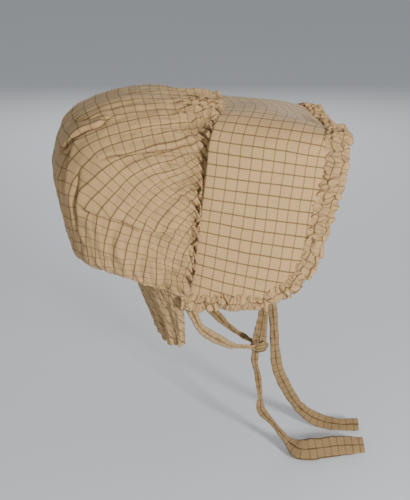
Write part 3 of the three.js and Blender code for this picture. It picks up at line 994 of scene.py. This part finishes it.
@dataclass
class Crown:
    """The full crown, gathered to the brim's seam and to the neck edge."""

    form: BrimForm
    name: str = "crown_bag"
    thickness: float = 0.9
    columns: int = 485
    rows: int = 151
    row_start: float = 0.5
    puff: float = 2.2
    side_puff: float = 6.0
    seam_stand: float = 2.4
    nape_draw: float = 3.0
    heel: tuple[float, float, float, float] = (-174.0, -163.0, 7.0, 13.0)
    seam_clearance: float = -0.8
    seam_blend: float = 0.2
    neck_back: float = 8.0
    neck_rise: float = 3.0
    boxiness: float = 0.8
    body_fullness: float = 1.02
    seam_fullness: float = 0.8
    neck_fullness: float = 0.8
    check_closeness: float = 1.24
    body_crease: float = 2.4
    body_ripple: float = 0.35
    body_wave: float = 0.9
    lay_steps: int = 900
    seam_tuck_reach: float = 34.0
    neck_tuck_reach: float = 22.0
    neck_girth_share: float = 0.8
    seam_gathers: tuple[Gather, Gather, Gather] = (
        Gather(4.6, 5.5, 60.0, 46.0, 1.5, 1),
        Gather(6.5, 9.0, 90.0, 46.0, 1.5, 2),
        Gather(4.0, 6.5, 9.0, 36.0, 2.0, 3),
    )
    neck_gathers: tuple[Gather, Gather, Gather] = (
        Gather(2.6, 5.5, 50.0, 22.0, 1.0, 4),
        Gather(3.0, 10.0, 80.0, 40.0, 1.0, 5),
        Gather(1.8, 6.5, 8.0, 20.0, 2.0, 9),
    )
    grain_reach: float = 13.0
    seed: int = 40
    line: Table = field(
        default_factory=lambda: Table(
            "x z half square",
            [
                (0, 1, 94, 0.1),
                (-24, 9, 98, 0.2),
                (-60, 17, 102, 0.3),
                (-104, 18, 106, 0.4),
                (-146, 8, 108, 0.6),
                (-179, -15, 108, 0.9),
                (-195, -53, 107, 1.1),
                (-192, -96, 105, 1.2),
                (-183, -134, 102, 1.2),
                (-170, -158, 98, 1.1),
                (-142, -168, 95, 0.6),
                (-116, -179, 92, 0.2),
            ],
            even=True,
        )
    )
    # Painted shade: the crown's copy of the cloth is a little darker as a whole.
    finish: WindowpaneCotton = WindowpaneCotton(shade=0.97)

    def point(self, around: Array, along: Array) -> Array:
        """Places of the crown before its folds.

        Each rib runs from the neck edge at one ear, over a point of the centre line, to the other ear, as
        a superellipse. The first rib is the brim's own back edge, and the next ones part from it softly.

        Args:
            around: From -1 at the wearer's right ear to 1 at the left.
            along: From 0 at the seam to 1 at the nape.

        Returns:
            The points.
        """
        around, along = np.broadcast_arrays(around, along)
        line = self.line.read(along)
        ear = self.form.point(-self.seam_clearance, self.form.half_girth)
        foot_x = ear[0] - self.neck_back * along
        foot_z = ear[2] + self.neck_rise * along
        angle = around * math.pi / 2.0
        power = 1.0 / (1.0 + line["square"] * self.boxiness)
        rise = np.maximum(0.0, np.cos(angle)) ** power
        spread = np.abs(np.sin(angle)) ** power
        half = mix(line["half"], ear[1], around**4)
        x = foot_x + (line["x"] - foot_x) * rise
        z = foot_z + (line["z"] - foot_z) * rise
        rib = np.stack([x, np.sign(around) * spread * half, z], -1)
        seam = self.form.point(-self.seam_clearance, around * self.form.half_girth)
        return mix(seam, rib, smoothstep(along, 0.0, self.seam_blend)[..., None])

    def grain(self, points: Array, ridge: Array) -> Array:
        """The way that the check's long lines run over the crown, as unit vectors.

        On top they run straight back and on the back straight down. On the sides they fall from level by
        angles that are a mean of the nearest places in the table, weighed by a bell curve of the distance.
        Where the lowest fold laps over, places beyond it don't count.

        Args:
            points: The crown's grid.
            ridge: Signed distances from the lowest fold.

        Returns:
            The field of vectors.
        """
        x, z = points[..., 0], points[..., 2]
        total = np.zeros(x.shape)
        weights = np.full(x.shape, 1e-12)
        shut = smoothstep(-x, 100.0, 135.0)
        for place_x, place_z, fall in np.array(GRAIN, float):
            square = (x - place_x) ** 2 + (z - place_z) ** 2
            above = place_z > np.interp(place_x, RIDGE_LINE[0], RIDGE_LINE[1])
            beyond = (ridge > 0.0) != above
            weight = np.exp(-square / (2.0 * self.grain_reach**2)) + 1e-9 / (1.0 + square)
            weight = weight * np.where(beyond, 1.0 - 0.98 * shut, 1.0)
            total += weight * fall
            weights += weight
        fall = np.radians(total / weights)
        normals = sheet_normals(points)
        top = smoothstep(normals[..., 2], 0.45, 0.8)
        back = smoothstep(-normals[..., 0], 0.5, 0.85)
        fall = mix(mix(fall, 0.0, top), math.pi / 2.0, back)
        way = np.stack([-np.cos(fall), np.zeros_like(fall), -np.sin(fall)], -1)
        return unit(way - normals * dot(way, normals)[..., None])

    def lay(self, points: Array, furrows: list[tuple[Fold, Furrow]]) -> Array:
        """Lays the flat cloth on the crown.

        Each step over the surface should add its own length of cloth along the grain and across it, and
        round the gathered edges also what is tucked into their valleys. The places on the cloth are
        those that come nearest to this by least squares, found by conjugate gradients. Across a parting
        fold the cloth may slip.

        Args:
            points: The crown's grid.
            furrows: The folds as its points see them.

        Returns:
            The places on the cloth, along the grain and across it.
        """
        normals = sheet_normals(points)
        ridges = [furrow.away for fold, furrow in furrows if fold is CROWN_FOLDS[0]]
        grain = self.grain(points, np.where(points[..., 1] < 0.0, ridges[0], ridges[1]))
        across = np.cross(grain, normals)
        back = sheet_steps(points, 1)
        ahead = back[:, -1:] - back
        girth_way = unit(np.gradient(points, axis=0))
        broad = self.seam_gathers[1].hills(self.girth(), back, self.seed)
        taken = self.seam_fullness * np.exp(-back / self.seam_tuck_reach) * self.tucked(broad)
        broad = self.neck_gathers[1].hills(self.girth() * self.neck_girth_share, ahead, self.seed)
        taken = taken + self.neck_fullness * np.exp(-ahead / self.neck_tuck_reach) * self.tucked(broad)
        parted = [furrow.away for fold, furrow in furrows if fold.parts]
        spacing = [np.linalg.norm(np.gradient(points, axis=axis), axis=-1) + 0.05 for axis in (0, 1)]
        wanted, weights = [], []
        for axis in (0, 1):
            step = np.diff(points, axis=axis)
            length = np.linalg.norm(step, axis=-1)

            def ends(values: Array) -> tuple[Array, Array]:
                """The values at the two ends of each step along the axis."""
                size = values.shape[axis]
                return np.take(values, range(size - 1), axis), np.take(values, range(1, size), axis)

            def middle(values: Array) -> Array:
                """The mean over each step along the axis."""
                return sum(ends(values)) / 2.0

            weight = np.clip(middle(spacing[1 - axis] / spacing[axis]), 0.05, 20.0)
            for away in parted:
                first, second = ends(away)
                crossed = (first * second < 0.0) & (np.abs(first - second) < 1.5 * length + 0.5)
                weight = np.where(crossed, weight * 0.01, weight)
            tuck = dot(step, middle(girth_way)) * middle(taken)
            ways = (middle(grain), middle(across))
            runs = [dot(step, way) + tuck * dot(middle(girth_way), way) for way in ways]
            wanted.append(np.stack(runs) * self.body_fullness)
            weights.append(weight)

        def gather_up(first: Array, second: Array) -> Array:
            """Sums what the steps say at each point: in from the step before and out to the next."""
            total = np.zeros((2, *points.shape[:2]))
            total[:, 1:] += first
            total[:, :-1] -= first
            total[:, :, 1:] += second
            total[:, :, :-1] -= second
            return total

        def pull(places: Array) -> Array:
            """What the differences of the places add up to at each point."""
            return gather_up(weights[0] * np.diff(places, axis=1), weights[1] * np.diff(places, axis=2))

        stiff = np.zeros(points.shape[:2])
        stiff[1:] += weights[0]
        stiff[:-1] += weights[0]
        stiff[:, 1:] += weights[1]
        stiff[:, :-1] += weights[1]
        around_run = sheet_steps(points, 0)
        places = np.stack([back, around_run - around_run[-1:] / 2.0])
        rest = gather_up(weights[0] * wanted[0], weights[1] * wanted[1]) - pull(places)
        eased = rest / stiff
        way = eased.copy()
        power = (rest * eased).sum(axis=(1, 2), keepdims=True)
        for _ in range(self.lay_steps):
            pulled = pull(way)
            stride = power / (way * pulled).sum(axis=(1, 2), keepdims=True)
            places = places + stride * way
            rest = rest - stride * pulled
            eased = rest / stiff
            next_power = (rest * eased).sum(axis=(1, 2), keepdims=True)
            way = eased + next_power / power * way
            power = next_power
        centre = places[:, places.shape[1] // 2, :1][:, None]
        return np.moveaxis(places - centre, 0, -1)

    def girth(self) -> Array:
        """Each rib's distance round the seam from the top centre."""
        return np.linspace(-self.form.half_girth, self.form.half_girth, self.columns)[:, None]

    def tucked(self, gathers: Array) -> Array:
        """How much of the cloth lies in each place's valley, 1 on the mean."""
        valleys = smoothstep(-gathers, 0.2, 0.58)
        return mix(1.0, valleys / valleys.mean(), 0.85)

    def relief(self, points: Array, cloth: Array) -> tuple[Array, Array]:
        """The gathers at both edges, crumples and soft waves.

        Gathers run from the edges along the ribs: sharp valleys between rounded hills, fine and broad, with
        short crumples over them. Over all the crown there are crumples that follow the cloth.

        Args:
            points: The crown's grid.
            cloth: Its places on the cloth.

        Returns:
            The heights in millimetres, and how much painted shade darkens the valleys.
        """
        along, across = cloth[..., 0], cloth[..., 1]
        back = sheet_steps(points, 1)
        ahead = back[:, -1:] - back
        girth = self.girth()
        neck_girth = girth * self.neck_girth_share
        patchy = np.clip(0.85 + 0.5 * ripples(girth, back, (60.0, 50.0), self.seed), 0.25, 1.7)
        seam = np.zeros(back.shape)
        nape = np.zeros(back.shape)
        for gather, share in zip(self.seam_gathers, (1.0, 1.0, patchy)):
            seam += gather.height * gather.hills(girth, back, self.seed) * gather.fade(back) * share
        for gather, place, share in zip(
            self.neck_gathers, (neck_girth, neck_girth, girth), (1.0, 1.0, patchy)
        ):
            nape += gather.height * gather.hills(place, ahead, self.seed) * gather.fade(ahead) * share
        body = self.body_crease * creases(along, across, (60.0, 22.0), self.seed + 6) * patchy
        body += self.body_ripple * ripples(along, across, (17.0, 12.0), self.seed + 7)
        # Painted shade in the valleys of the gathers and crumples, kept off the seam itself.
        painted_shade = np.clip(-(seam + nape + 0.6 * body) * 0.22 - 0.1, 0.0, 0.6) * smoothstep(back, 1.0, 8.0)
        puff = self.puff + self.side_puff * np.abs(girth / self.form.half_girth) ** 1.5
        seam += puff * (1.0 - np.exp(-back / 5.0)) * np.exp(-back / 45.0)
        stand = self.seam_stand * np.exp(-back / 6.0) * smoothstep(back, 0.0, 2.0)
        seam = seam * smoothstep(back, 0.0, 7.0) + stand
        nape = (nape - self.nape_draw * np.exp(-ahead / 40.0)) * smoothstep(ahead, 0.0, 4.0)
        body += self.body_wave * ripples(points[..., 0], points[..., 2], (75.0, 60.0), self.seed + 8)
        body = body * smoothstep(back, 0.0, 22.0) * smoothstep(ahead, 0.0, 20.0)
        off_x, off_z = points[..., 0] - self.heel[0], points[..., 2] - self.heel[1]
        heel = self.heel[2] * np.exp(-(off_x**2 + off_z**2) / (2.0 * self.heel[3] ** 2))
        return seam + nape + body + heel, painted_shade

    def build(self) -> bpy.types.Object:
        """Makes the crown: its form, the cloth laid on it, and the folds and gathers.

        Returns:
            The crown.
        """
        around = np.linspace(-1.0, 1.0, self.columns)[:, None]
        share = np.linspace(0.0, 1.0, self.rows)[None, :]
        along = share * (self.row_start + (1.0 - self.row_start) * share)
        points = self.point(around, along)
        normals = sheet_normals(points)
        furrows = [(fold, fold.see(points, normals, side)) for fold in CROWN_FOLDS for side in (1, -1)]
        cloth = self.lay(points, furrows)
        self.cloth_box = np.ptp(cloth.reshape(-1, 2), axis=0)
        self.cloth_area = flat_area(cloth)
        log.info("crown cloth covers %s mm, %d mm2", self.cloth_box.round(), self.cloth_area)
        height, painted_shade = self.relief(points, cloth)
        slide = np.zeros(points.shape)
        for fold, furrow in furrows:
            rise, lap, pit = fold.shape(furrow)
            height += rise
            slide += furrow.across * lap[..., None]
            # Painted shade in the furrows of the folds.
            painted_shade = np.maximum(painted_shade, 0.12 * fold.depth * pit**3)
        x, z = points[..., 0], points[..., 2]
        yellow = np.exp(-(((x + 172.0) / 26.0) ** 2) - ((z + 38.0) / 34.0) ** 2)
        worn = 0.85 * yellow + 0.4 * smoothstep(-z, 120.0, 190.0)
        points = points + normals * height[..., None] + slide
        return add_wall(self.name, points, cloth * self.check_closeness, self.thickness, worn, painted_shade)

    def dress(self, piece: bpy.types.Object) -> None:
        """Gives the crown its cloth and works out the cut that it was made from."""
        dress(piece, self.finish, "crown_cloth", "crown")
        length, width = self.cloth_box
        Cut(width, length, Hold.GATHERED, self.cloth_area).declare()


@dataclass
class NapeCurtain:
    """The short flounce below the neck edge."""

    crown: Crown
    name: str = "nape_curtain"
    thickness: float = 0.8
    front_x: float = -52.0
    front_half: float = 62.0
    front_z: float = -278.0
    back_x: float = -80.0
    back_z: float = -280.0
    roundness: float = 0.8
    fullness: float = 1.2
    waves: int = 9
    wave_height: float = 2.6
    clearance: float = 0.3
    soft_height: float = 1.3
    crease_height: float = 1.8
    gather_height: float = 1.1
    cloth_start: float = 4.0
    hem_depth: float = 6.0
    hem_extra: float = 0.7
    cut_drop: float = 100.0
    cut_round: float = 260.0
    columns: int = 421
    rows: int = 61
    seed: int = 70
    # Painted shade: the curtain's copy of the cloth is darker as a whole, as it hangs under the crown.
    finish: WindowpaneCotton = WindowpaneCotton(shade=0.94)

    def build(self) -> bpy.types.Object:
        """Makes the flounce.

        It runs straight from the neck edge to a rounded lower edge. Its folds are a cosine round it that
        grows downwards, with finer gathers at the top that fade out.

        Returns:
            The flounce.
        """
        side = np.linspace(-1.0, 1.0, self.columns)[:, None]
        down = np.linspace(0.0, 1.0, self.rows)[None, :]
        angle = side * math.pi / 2.0
        top = self.crown.point(side, np.ones_like(side)) - np.array([0.0, 0.0, self.clearance])
        back = np.maximum(0.0, np.cos(angle)) ** self.roundness
        low = np.stack(
            [
                mix(self.front_x, self.back_x, back),
                self.front_half * np.sin(angle),
                mix(self.front_z, self.back_z, back),
            ],
            -1,
        )
        points = mix(top, low, down[..., None])
        around_run = sheet_steps(points, 0)
        down_run = sheet_steps(points, 1)
        uneven = 0.7 * ripples(side * 200.0, down * 30.0, (90.0, 120.0), self.seed)
        wave = np.cos(side * self.waves * math.pi + 1.6 * uneven)
        height = self.wave_height * down * wave
        soft = ripples(side * 300.0, down_run, (26.0, 90.0), self.seed + 1)
        height = height + self.soft_height * soft * down
        crease = creases(side * 260.0, down_run, (24.0, 120.0), self.seed + 4)
        height = height + self.crease_height * crease * down
        fade = np.exp(-down_run / 16.0) * smoothstep(down_run, 0.0, 3.0)
        gather = ripples(side * 300.0, down_run, (8.0, 40.0), self.seed + 2)
        height = height + self.gather_height * gather * fade
        height = height + 0.35 * ripples(around_run, down_run, (12.0, 14.0), self.seed + 3)
        cloth_round = (around_run - around_run[-1:] / 2.0) * self.fullness
        cloth = np.stack([down_run + self.cloth_start, cloth_round], -1)
        above_hem = down_run[:, -1:] - self.hem_depth
        hem = smoothstep(down_run, above_hem, above_hem + 1.0)
        wear = 0.35 + 0.3 * down
        # Painted shade in the valleys of the folds and just under the neck edge.
        painted_shade = np.clip(-height * 0.1, 0.0, 0.35) + 0.25 * np.exp(-down_run / 8.0)
        points = raise_sheet(points, height)
        return add_wall(self.name, points, cloth, self.thickness + self.hem_extra * hem, wear, painted_shade)

    def dress(self, piece: bpy.types.Object) -> None:
        """Gives the flounce its cloth and works out the cut that it was made from."""
        dress(piece, self.finish, "curtain_cloth", "neck_curtain")
        Cut(self.cut_drop, self.cut_round, Hold.GATHERED).declare()


@dataclass
class Ribbon:
    """A flat tie along a path.

    Each row of the path is a point with the width there, the turn of the flat side in degrees, and how
    high the lengthwise pleats stand. Turn 0 faces the wearer's right.
    """

    name: str
    replaced: str
    path: Table
    steps: int
    seed: int
    rows: int = 15
    thickness: float = 0.8
    mirrored: bool = False
    check_start: float = 0.0
    check_scale: float = 1.3
    crumple: float = 0.35
    pleat_crumple: float = 0.7
    edge_roll: float = 0.9
    edge_wander: float = 0.5
    cut_width: float = 12.0
    # Painted shade: the ties' copy of the cloth is darker as a whole, for the shade under the chin.
    finish: WindowpaneCotton = WindowpaneCotton(shade=0.86)

    def centre(self, along: Array) -> Array:
        """Points of the middle line."""
        row = self.path.read(along)
        return np.stack([row["x"], row["y"], row["z"]], -1)

    def build(self) -> bpy.types.Object:
        """Makes the tie.

        The flat side is the square of the path's way and the wearer's right, turned by its angle. Across
        it the cloth is pleated by a cosine, crumpled unevenly and rolled in a little at the edges.

        Returns:
            The tie.
        """
        along = np.linspace(0.0, 1.0, self.steps)[:, None]
        across = np.linspace(-0.5, 0.5, self.rows)[None, :]
        row = self.path.read(along)
        centre = self.centre(along)
        way = unit(self.centre(np.minimum(1.0, along + 0.01)) - self.centre(np.maximum(0.0, along - 0.01)))
        outward = 1.0 if self.mirrored else -1.0
        side = np.array([0.0, outward, 0.0]) - way * (outward * way[..., 1:2])
        side = unit(side)
        flat = np.cross(way, side) * (-outward)
        turn = np.radians(row["turn"])[..., None]
        broad = flat * np.cos(turn) + side * np.sin(turn)
        face = unit(np.cross(broad, way))
        run = sheet_steps(centre, 0)
        self.length = float(run[-1, 0])
        place = across * row["width"]
        pleat = row["pleat"] * np.cos(2.0 * math.pi * (across * 2.4 + 0.15 * np.sin(run / 17.0)))
        crumple = self.crumple * ripples(run, place, (15.0, 7.0), self.seed)
        pleated = ripples(run, place, (11.0, 5.0), self.seed + 1)
        crumple = crumple + self.pleat_crumple * row["pleat"] * pleated
        roll = -self.edge_roll * (2.0 * np.abs(across)) ** 5
        wander = self.edge_wander * ripples(run, 0.0 * run, (22.0, 1.0), self.seed + 2)
        place = place + wander * np.sign(across)
        points = centre + broad * place[..., None] + face * (pleat + crumple + roll)[..., None]
        spread = across * np.maximum(row["width"], self.cut_width) + self.check_start
        cloth = np.stack(np.broadcast_arrays(run * self.check_scale + 3.0, spread), -1)
        # Painted shade in the valleys of the pleats and crumples.
        painted_shade = np.clip(-(pleat + crumple) * 0.35, 0.0, 0.5)
        return add_wall(self.name, points, cloth, self.thickness, 0.35, painted_shade)

    def dress(self, piece: bpy.types.Object) -> None:
        """Gives the tie its cloth and works out the cut that it was made from."""
        dress(piece, self.finish, "tie_cloth", self.replaced)
        Cut(self.cut_width, self.length, Hold.HUNG).declare()


TIE_ROWS = [
    (-50, -84, -217, 11, 10, 0.6),
    (-43, -79, -233, 9, 5, 0.5),
    (-35, -71, -252, 10, 10, 0.4),
    (-21, -60, -269, 13, 0, 0.4),
    (-5, -47, -285, 12, 0, 0.5),
    (10, -34, -299, 10, -5, 0.6),
    (25, -20, -308, 6, 0, 0.8),
    (46, -9, -317, 7, 0, 0.8),
]
TIE_COLUMNS = "x y z width turn pleat"
STRAP_WIDTH = 14.0
FAR_TIE_END = 5.0
LOOP_ROWS = [
    (49, -6, -309, 19, 0, 1.5),
    (51, -8, -291, 16, 5, 1.4),
    (54, -6, -270, 12, 10, 1.2),
    (57, -2, -254, 11, 30, 0.8),
    (62, 5, -247, 11, 50, 0.4),
    (66, 8, -256, 11, 20, 0.2),
    (69, 6, -275, 11, 0, 0.2),
    (71, 4, -300, 11, 0, 0.2),
    (73, 3, -329, 13, 5, 0.2),
    (77, 3, -356, 15, 0, 0.2),
    (87, 5, -381, 15, 0, 0.3),
    (101, 8, -408, 15, -10, 0.3),
    (118, 12, -431, 15, 10, 0.3),
    (139, 11, -446, 19, 40, 0.3),
    (164, 2, -449, 17, 50, 0.3),
    (191, -2, -449, 16, 50, 0.4),
]
TAIL_ROWS = [
    (45, -8, -317, 10, 0, 0.9),
    (44, -9, -338, 8, 10, 0.6),
    (48, -10, -357, 7, 0, 0.7),
    (51, -14, -387, 8, 20, 0.7),
    (52, -18, -405, 11, 0, 0.5),
    (65, -26, -419, 7, 20, 0.7),
    (76, -34, -432, 8, 30, 0.7),
    (86, -44, -441, 14, 35, 0.5),
    (98, -56, -444, 27, 50, 0.3),
    (121, -57, -444, 28, 50, 0.2),
    (148, -55, -444, 27, 50, 0.2),
    (182, -56, -445, 21, 55, 0.3),
]


def tie_path(rows: Sequence[Sequence[float]]) -> Table:
    """The rows of a tie as a smooth path."""
    return Table(TIE_COLUMNS, rows, even=True)


def far_rows(rows: Sequence[Sequence[float]], last_y: float) -> list[tuple[float, ...]]:
    """The near tie's rows mirrored to the other side, with the last one at its own place.

    Args:
        rows: The near tie's rows.
        last_y: How far to the wearer's left the far tie ends.

    Returns:
        The far tie's rows.
    """
    mirrored = [(x, -y, z, width, -turn, pleat) for x, y, z, width, turn, pleat in rows]
    x, _, z, width, turn, pleat = mirrored[-1]
    return [*mirrored[:-1], (x, last_y, z, width, turn, pleat)]


@dataclass
class Knot:
    """The knot: a band of cloth wound once round the ties, with a pleat or two along its winding."""

    name: str = "chin_knot"
    centre: tuple[float, float, float] = (50.0, -4.0, -317.0)
    half: tuple[float, float, float] = (12.0, 8.0, 6.2)
    core: float = 0.48
    turn_steps: int = 96
    section_steps: int = 48
    turn_radius: float = 9.0
    section_radius: float = 4.5
    seed: int = 90
    finish: WindowpaneCotton = SHADOWED_COTTON

    def build(self) -> bpy.types.Object:
        """Makes the knot.

        A ring is carried round the ties. Its section is an ellipse whose radius swells by a cosine of the
        angle round it, so that pleats follow the winding, and drifts as they go round.

        Returns:
            The knot.
        """
        turn = np.linspace(0.0, 2.0 * math.pi, self.turn_steps + 1)[:-1][:, None]
        round_section = np.linspace(0.0, 2.0 * math.pi, self.section_steps + 1)[:-1][None, :]
        pleat = 1.0 + 0.1 * np.cos(5.0 * round_section + 2.0 * np.sin(turn))
        pleat = pleat + 0.05 * ripples(turn * 6.0, round_section * 6.0, (9.0, 6.0), self.seed)
        radius = self.core + (1.0 - self.core) * np.cos(round_section) * pleat
        x = self.half[0] * radius * np.cos(turn)
        y = self.half[1] * radius * np.sin(turn)
        z = self.half[2] * np.sin(round_section) * pleat + 1.2 * np.sin(turn + 0.6)
        points = np.stack(np.broadcast_arrays(x, y, z), -1) + np.array(self.centre)
        index = np.arange(points.shape[0] * points.shape[1]).reshape(points.shape[:2])
        wrapped = np.pad(index, ((0, 1), (0, 1)), mode="wrap")
        around_run = turn * self.turn_radius + 0.0 * round_section
        section_run = round_section * self.section_radius + 0.0 * turn
        cloth = np.stack([around_run, section_run], -1).reshape(-1, 2)
        faces = grid_faces(wrapped).tolist()
        # Painted shade where the pleats sink in.
        layers = {WORN_LAYER: np.full(index.size, 0.4), PAINTED_SHADE_LAYER: np.clip(1.0 - pleat, 0.0, 1.0).ravel()}
        return add_mesh(self.name, points.reshape(-1, 3), faces, cloth, layers)

    def dress(self, piece: bpy.types.Object) -> None:
        """Gives the knot its cloth."""
        dress(piece, self.finish, "tie_cloth", "tie_knot")


LIT_MIDDLE = (-0.02, 0.0, -0.16)
LIGHTS = (
    ("key", (0.66, -1.32, 0.14), 0.25, 27.0),
    ("fill", (-1.2, -1.2, 0.4), 1.2, 4.0),
    ("top", (-0.1, 0.1, 1.7), 1.4, 2.5),
    ("back", (0.2, 1.7, 0.7), 1.4, 14.0),
)


@dataclass
class Studio:
    """The floor, the soft lights and the camera."""

    azimuth: float = -8.0
    elevation: float = 22.0
    distance: float = 1060.0
    shift_right: float = 19.6
    shift_up: float = 169.7
    lens: float = 80.6
    sensor: float = 36.0
    floor_gap: float = 1.0
    floor_half: float = 12.0
    room_colour: Colour = (0.80, 0.82, 0.85)
    room_strength: float = 0.5

    def axes(self) -> tuple[Vector, Vector, Vector]:
        """The camera's ways right, up and forward, from its azimuth and elevation."""
        turn, rise = math.radians(self.azimuth), math.radians(self.elevation)
        forward = Vector((-math.sin(turn) * math.cos(rise), math.cos(turn) * math.cos(rise), -math.sin(rise)))
        right = Vector((math.cos(turn), math.sin(turn), 0.0))
        return right, right.cross(forward), forward

    def add_camera(self) -> None:
        """Stands the camera so that the origin is as far from the middle of its view as in the photo."""
        right, up, forward = self.axes()
        data = bpy.data.cameras.new("camera")
        data.sensor_fit = "HORIZONTAL"
        data.sensor_width = self.sensor
        data.lens = self.lens
        data.clip_end = 100.0
        camera = bpy.data.objects.new("camera", data)
        place = -(forward * self.distance + right * self.shift_right + up * self.shift_up) * MM
        columns = Matrix((right, up, -forward)).transposed()
        camera.matrix_world = Matrix.Translation(place) @ columns.to_4x4()
        bpy.context.scene.collection.objects.link(camera)
        bpy.context.scene.camera = camera

    def add_light(self, name: str, place: Colour, target: Colour, size: float, power: float) -> None:
        """Adds a square soft light.

        Args:
            name: Its name.
            place: Where it stands, in metres.
            target: What it faces.
            size: Its side.
            power: Its power in watts.
        """
        data = bpy.data.lights.new(name, "AREA")
        data.shape = "SQUARE"
        data.size = size
        data.energy = power
        light = bpy.data.objects.new(name, data)
        light.location = place
        light.rotation_euler = (Vector(target) - Vector(place)).to_track_quat("-Z", "Y").to_euler()
        bpy.context.scene.collection.objects.link(light)

    def add_floor(self, lowest: float) -> None:
        """Lays the floor just under the lowest point of the ties.

        Args:
            lowest: The lowest point's height in metres.
        """
        half = self.floor_half
        height = lowest - self.floor_gap * MM
        corners = [(-half, -half, height), (half, -half, height), (half, half, height), (-half, half, height)]
        mesh = bpy.data.meshes.new("floor")
        mesh.from_pydata(corners, [], [(0, 1, 2, 3)])
        mesh.materials.append(PaleFloor().make("floor_paint"))
        floor = bpy.data.objects.new("floor", mesh)
        bpy.context.scene.collection.objects.link(floor)
        floor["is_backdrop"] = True

    def build(self) -> None:
        """Builds the studio round the bonnet."""
        world = bpy.data.worlds.new("room")
        world.use_nodes = True
        background = world.node_tree.nodes["Background"].inputs
        background["Color"].default_value = (*self.room_colour, 1.0)
        background["Strength"].default_value = self.room_strength
        bpy.context.scene.world = world
        for name, place, size, power in LIGHTS:
            self.add_light(name, place, LIT_MIDDLE, size, power)
        self.add_floor(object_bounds()[0][2])
        self.add_camera()


def main() -> None:
    """Builds and dresses each piece in order, then the studio."""
    logging.basicConfig(level=logging.INFO, format="%(message)s")
    form = BrimForm()
    crown = Crown(form)
    strap = {"cut_width": STRAP_WIDTH, "finish": SHADOWED_COTTON}
    pieces = [
        crown,
        Brim(form),
        Frill(form),
        NapeCurtain(crown),
        Knot(),
        Ribbon("tie_near", "tie_right", tie_path(TIE_ROWS), 151, 100),
        Ribbon("tie_far", "tie_left", tie_path(far_rows(TIE_ROWS, FAR_TIE_END)), 151, 110, mirrored=True),
        Ribbon("strap_loop", "tail_left", tie_path(LOOP_ROWS), 421, 120, **strap),
        Ribbon("strap_tail", "tail_right", tie_path(TAIL_ROWS), 321, 130, **strap),
    ]
    for piece in pieces:
        piece.dress(piece.build())
    Studio().build()


if __name__ == "__main__":
    main()
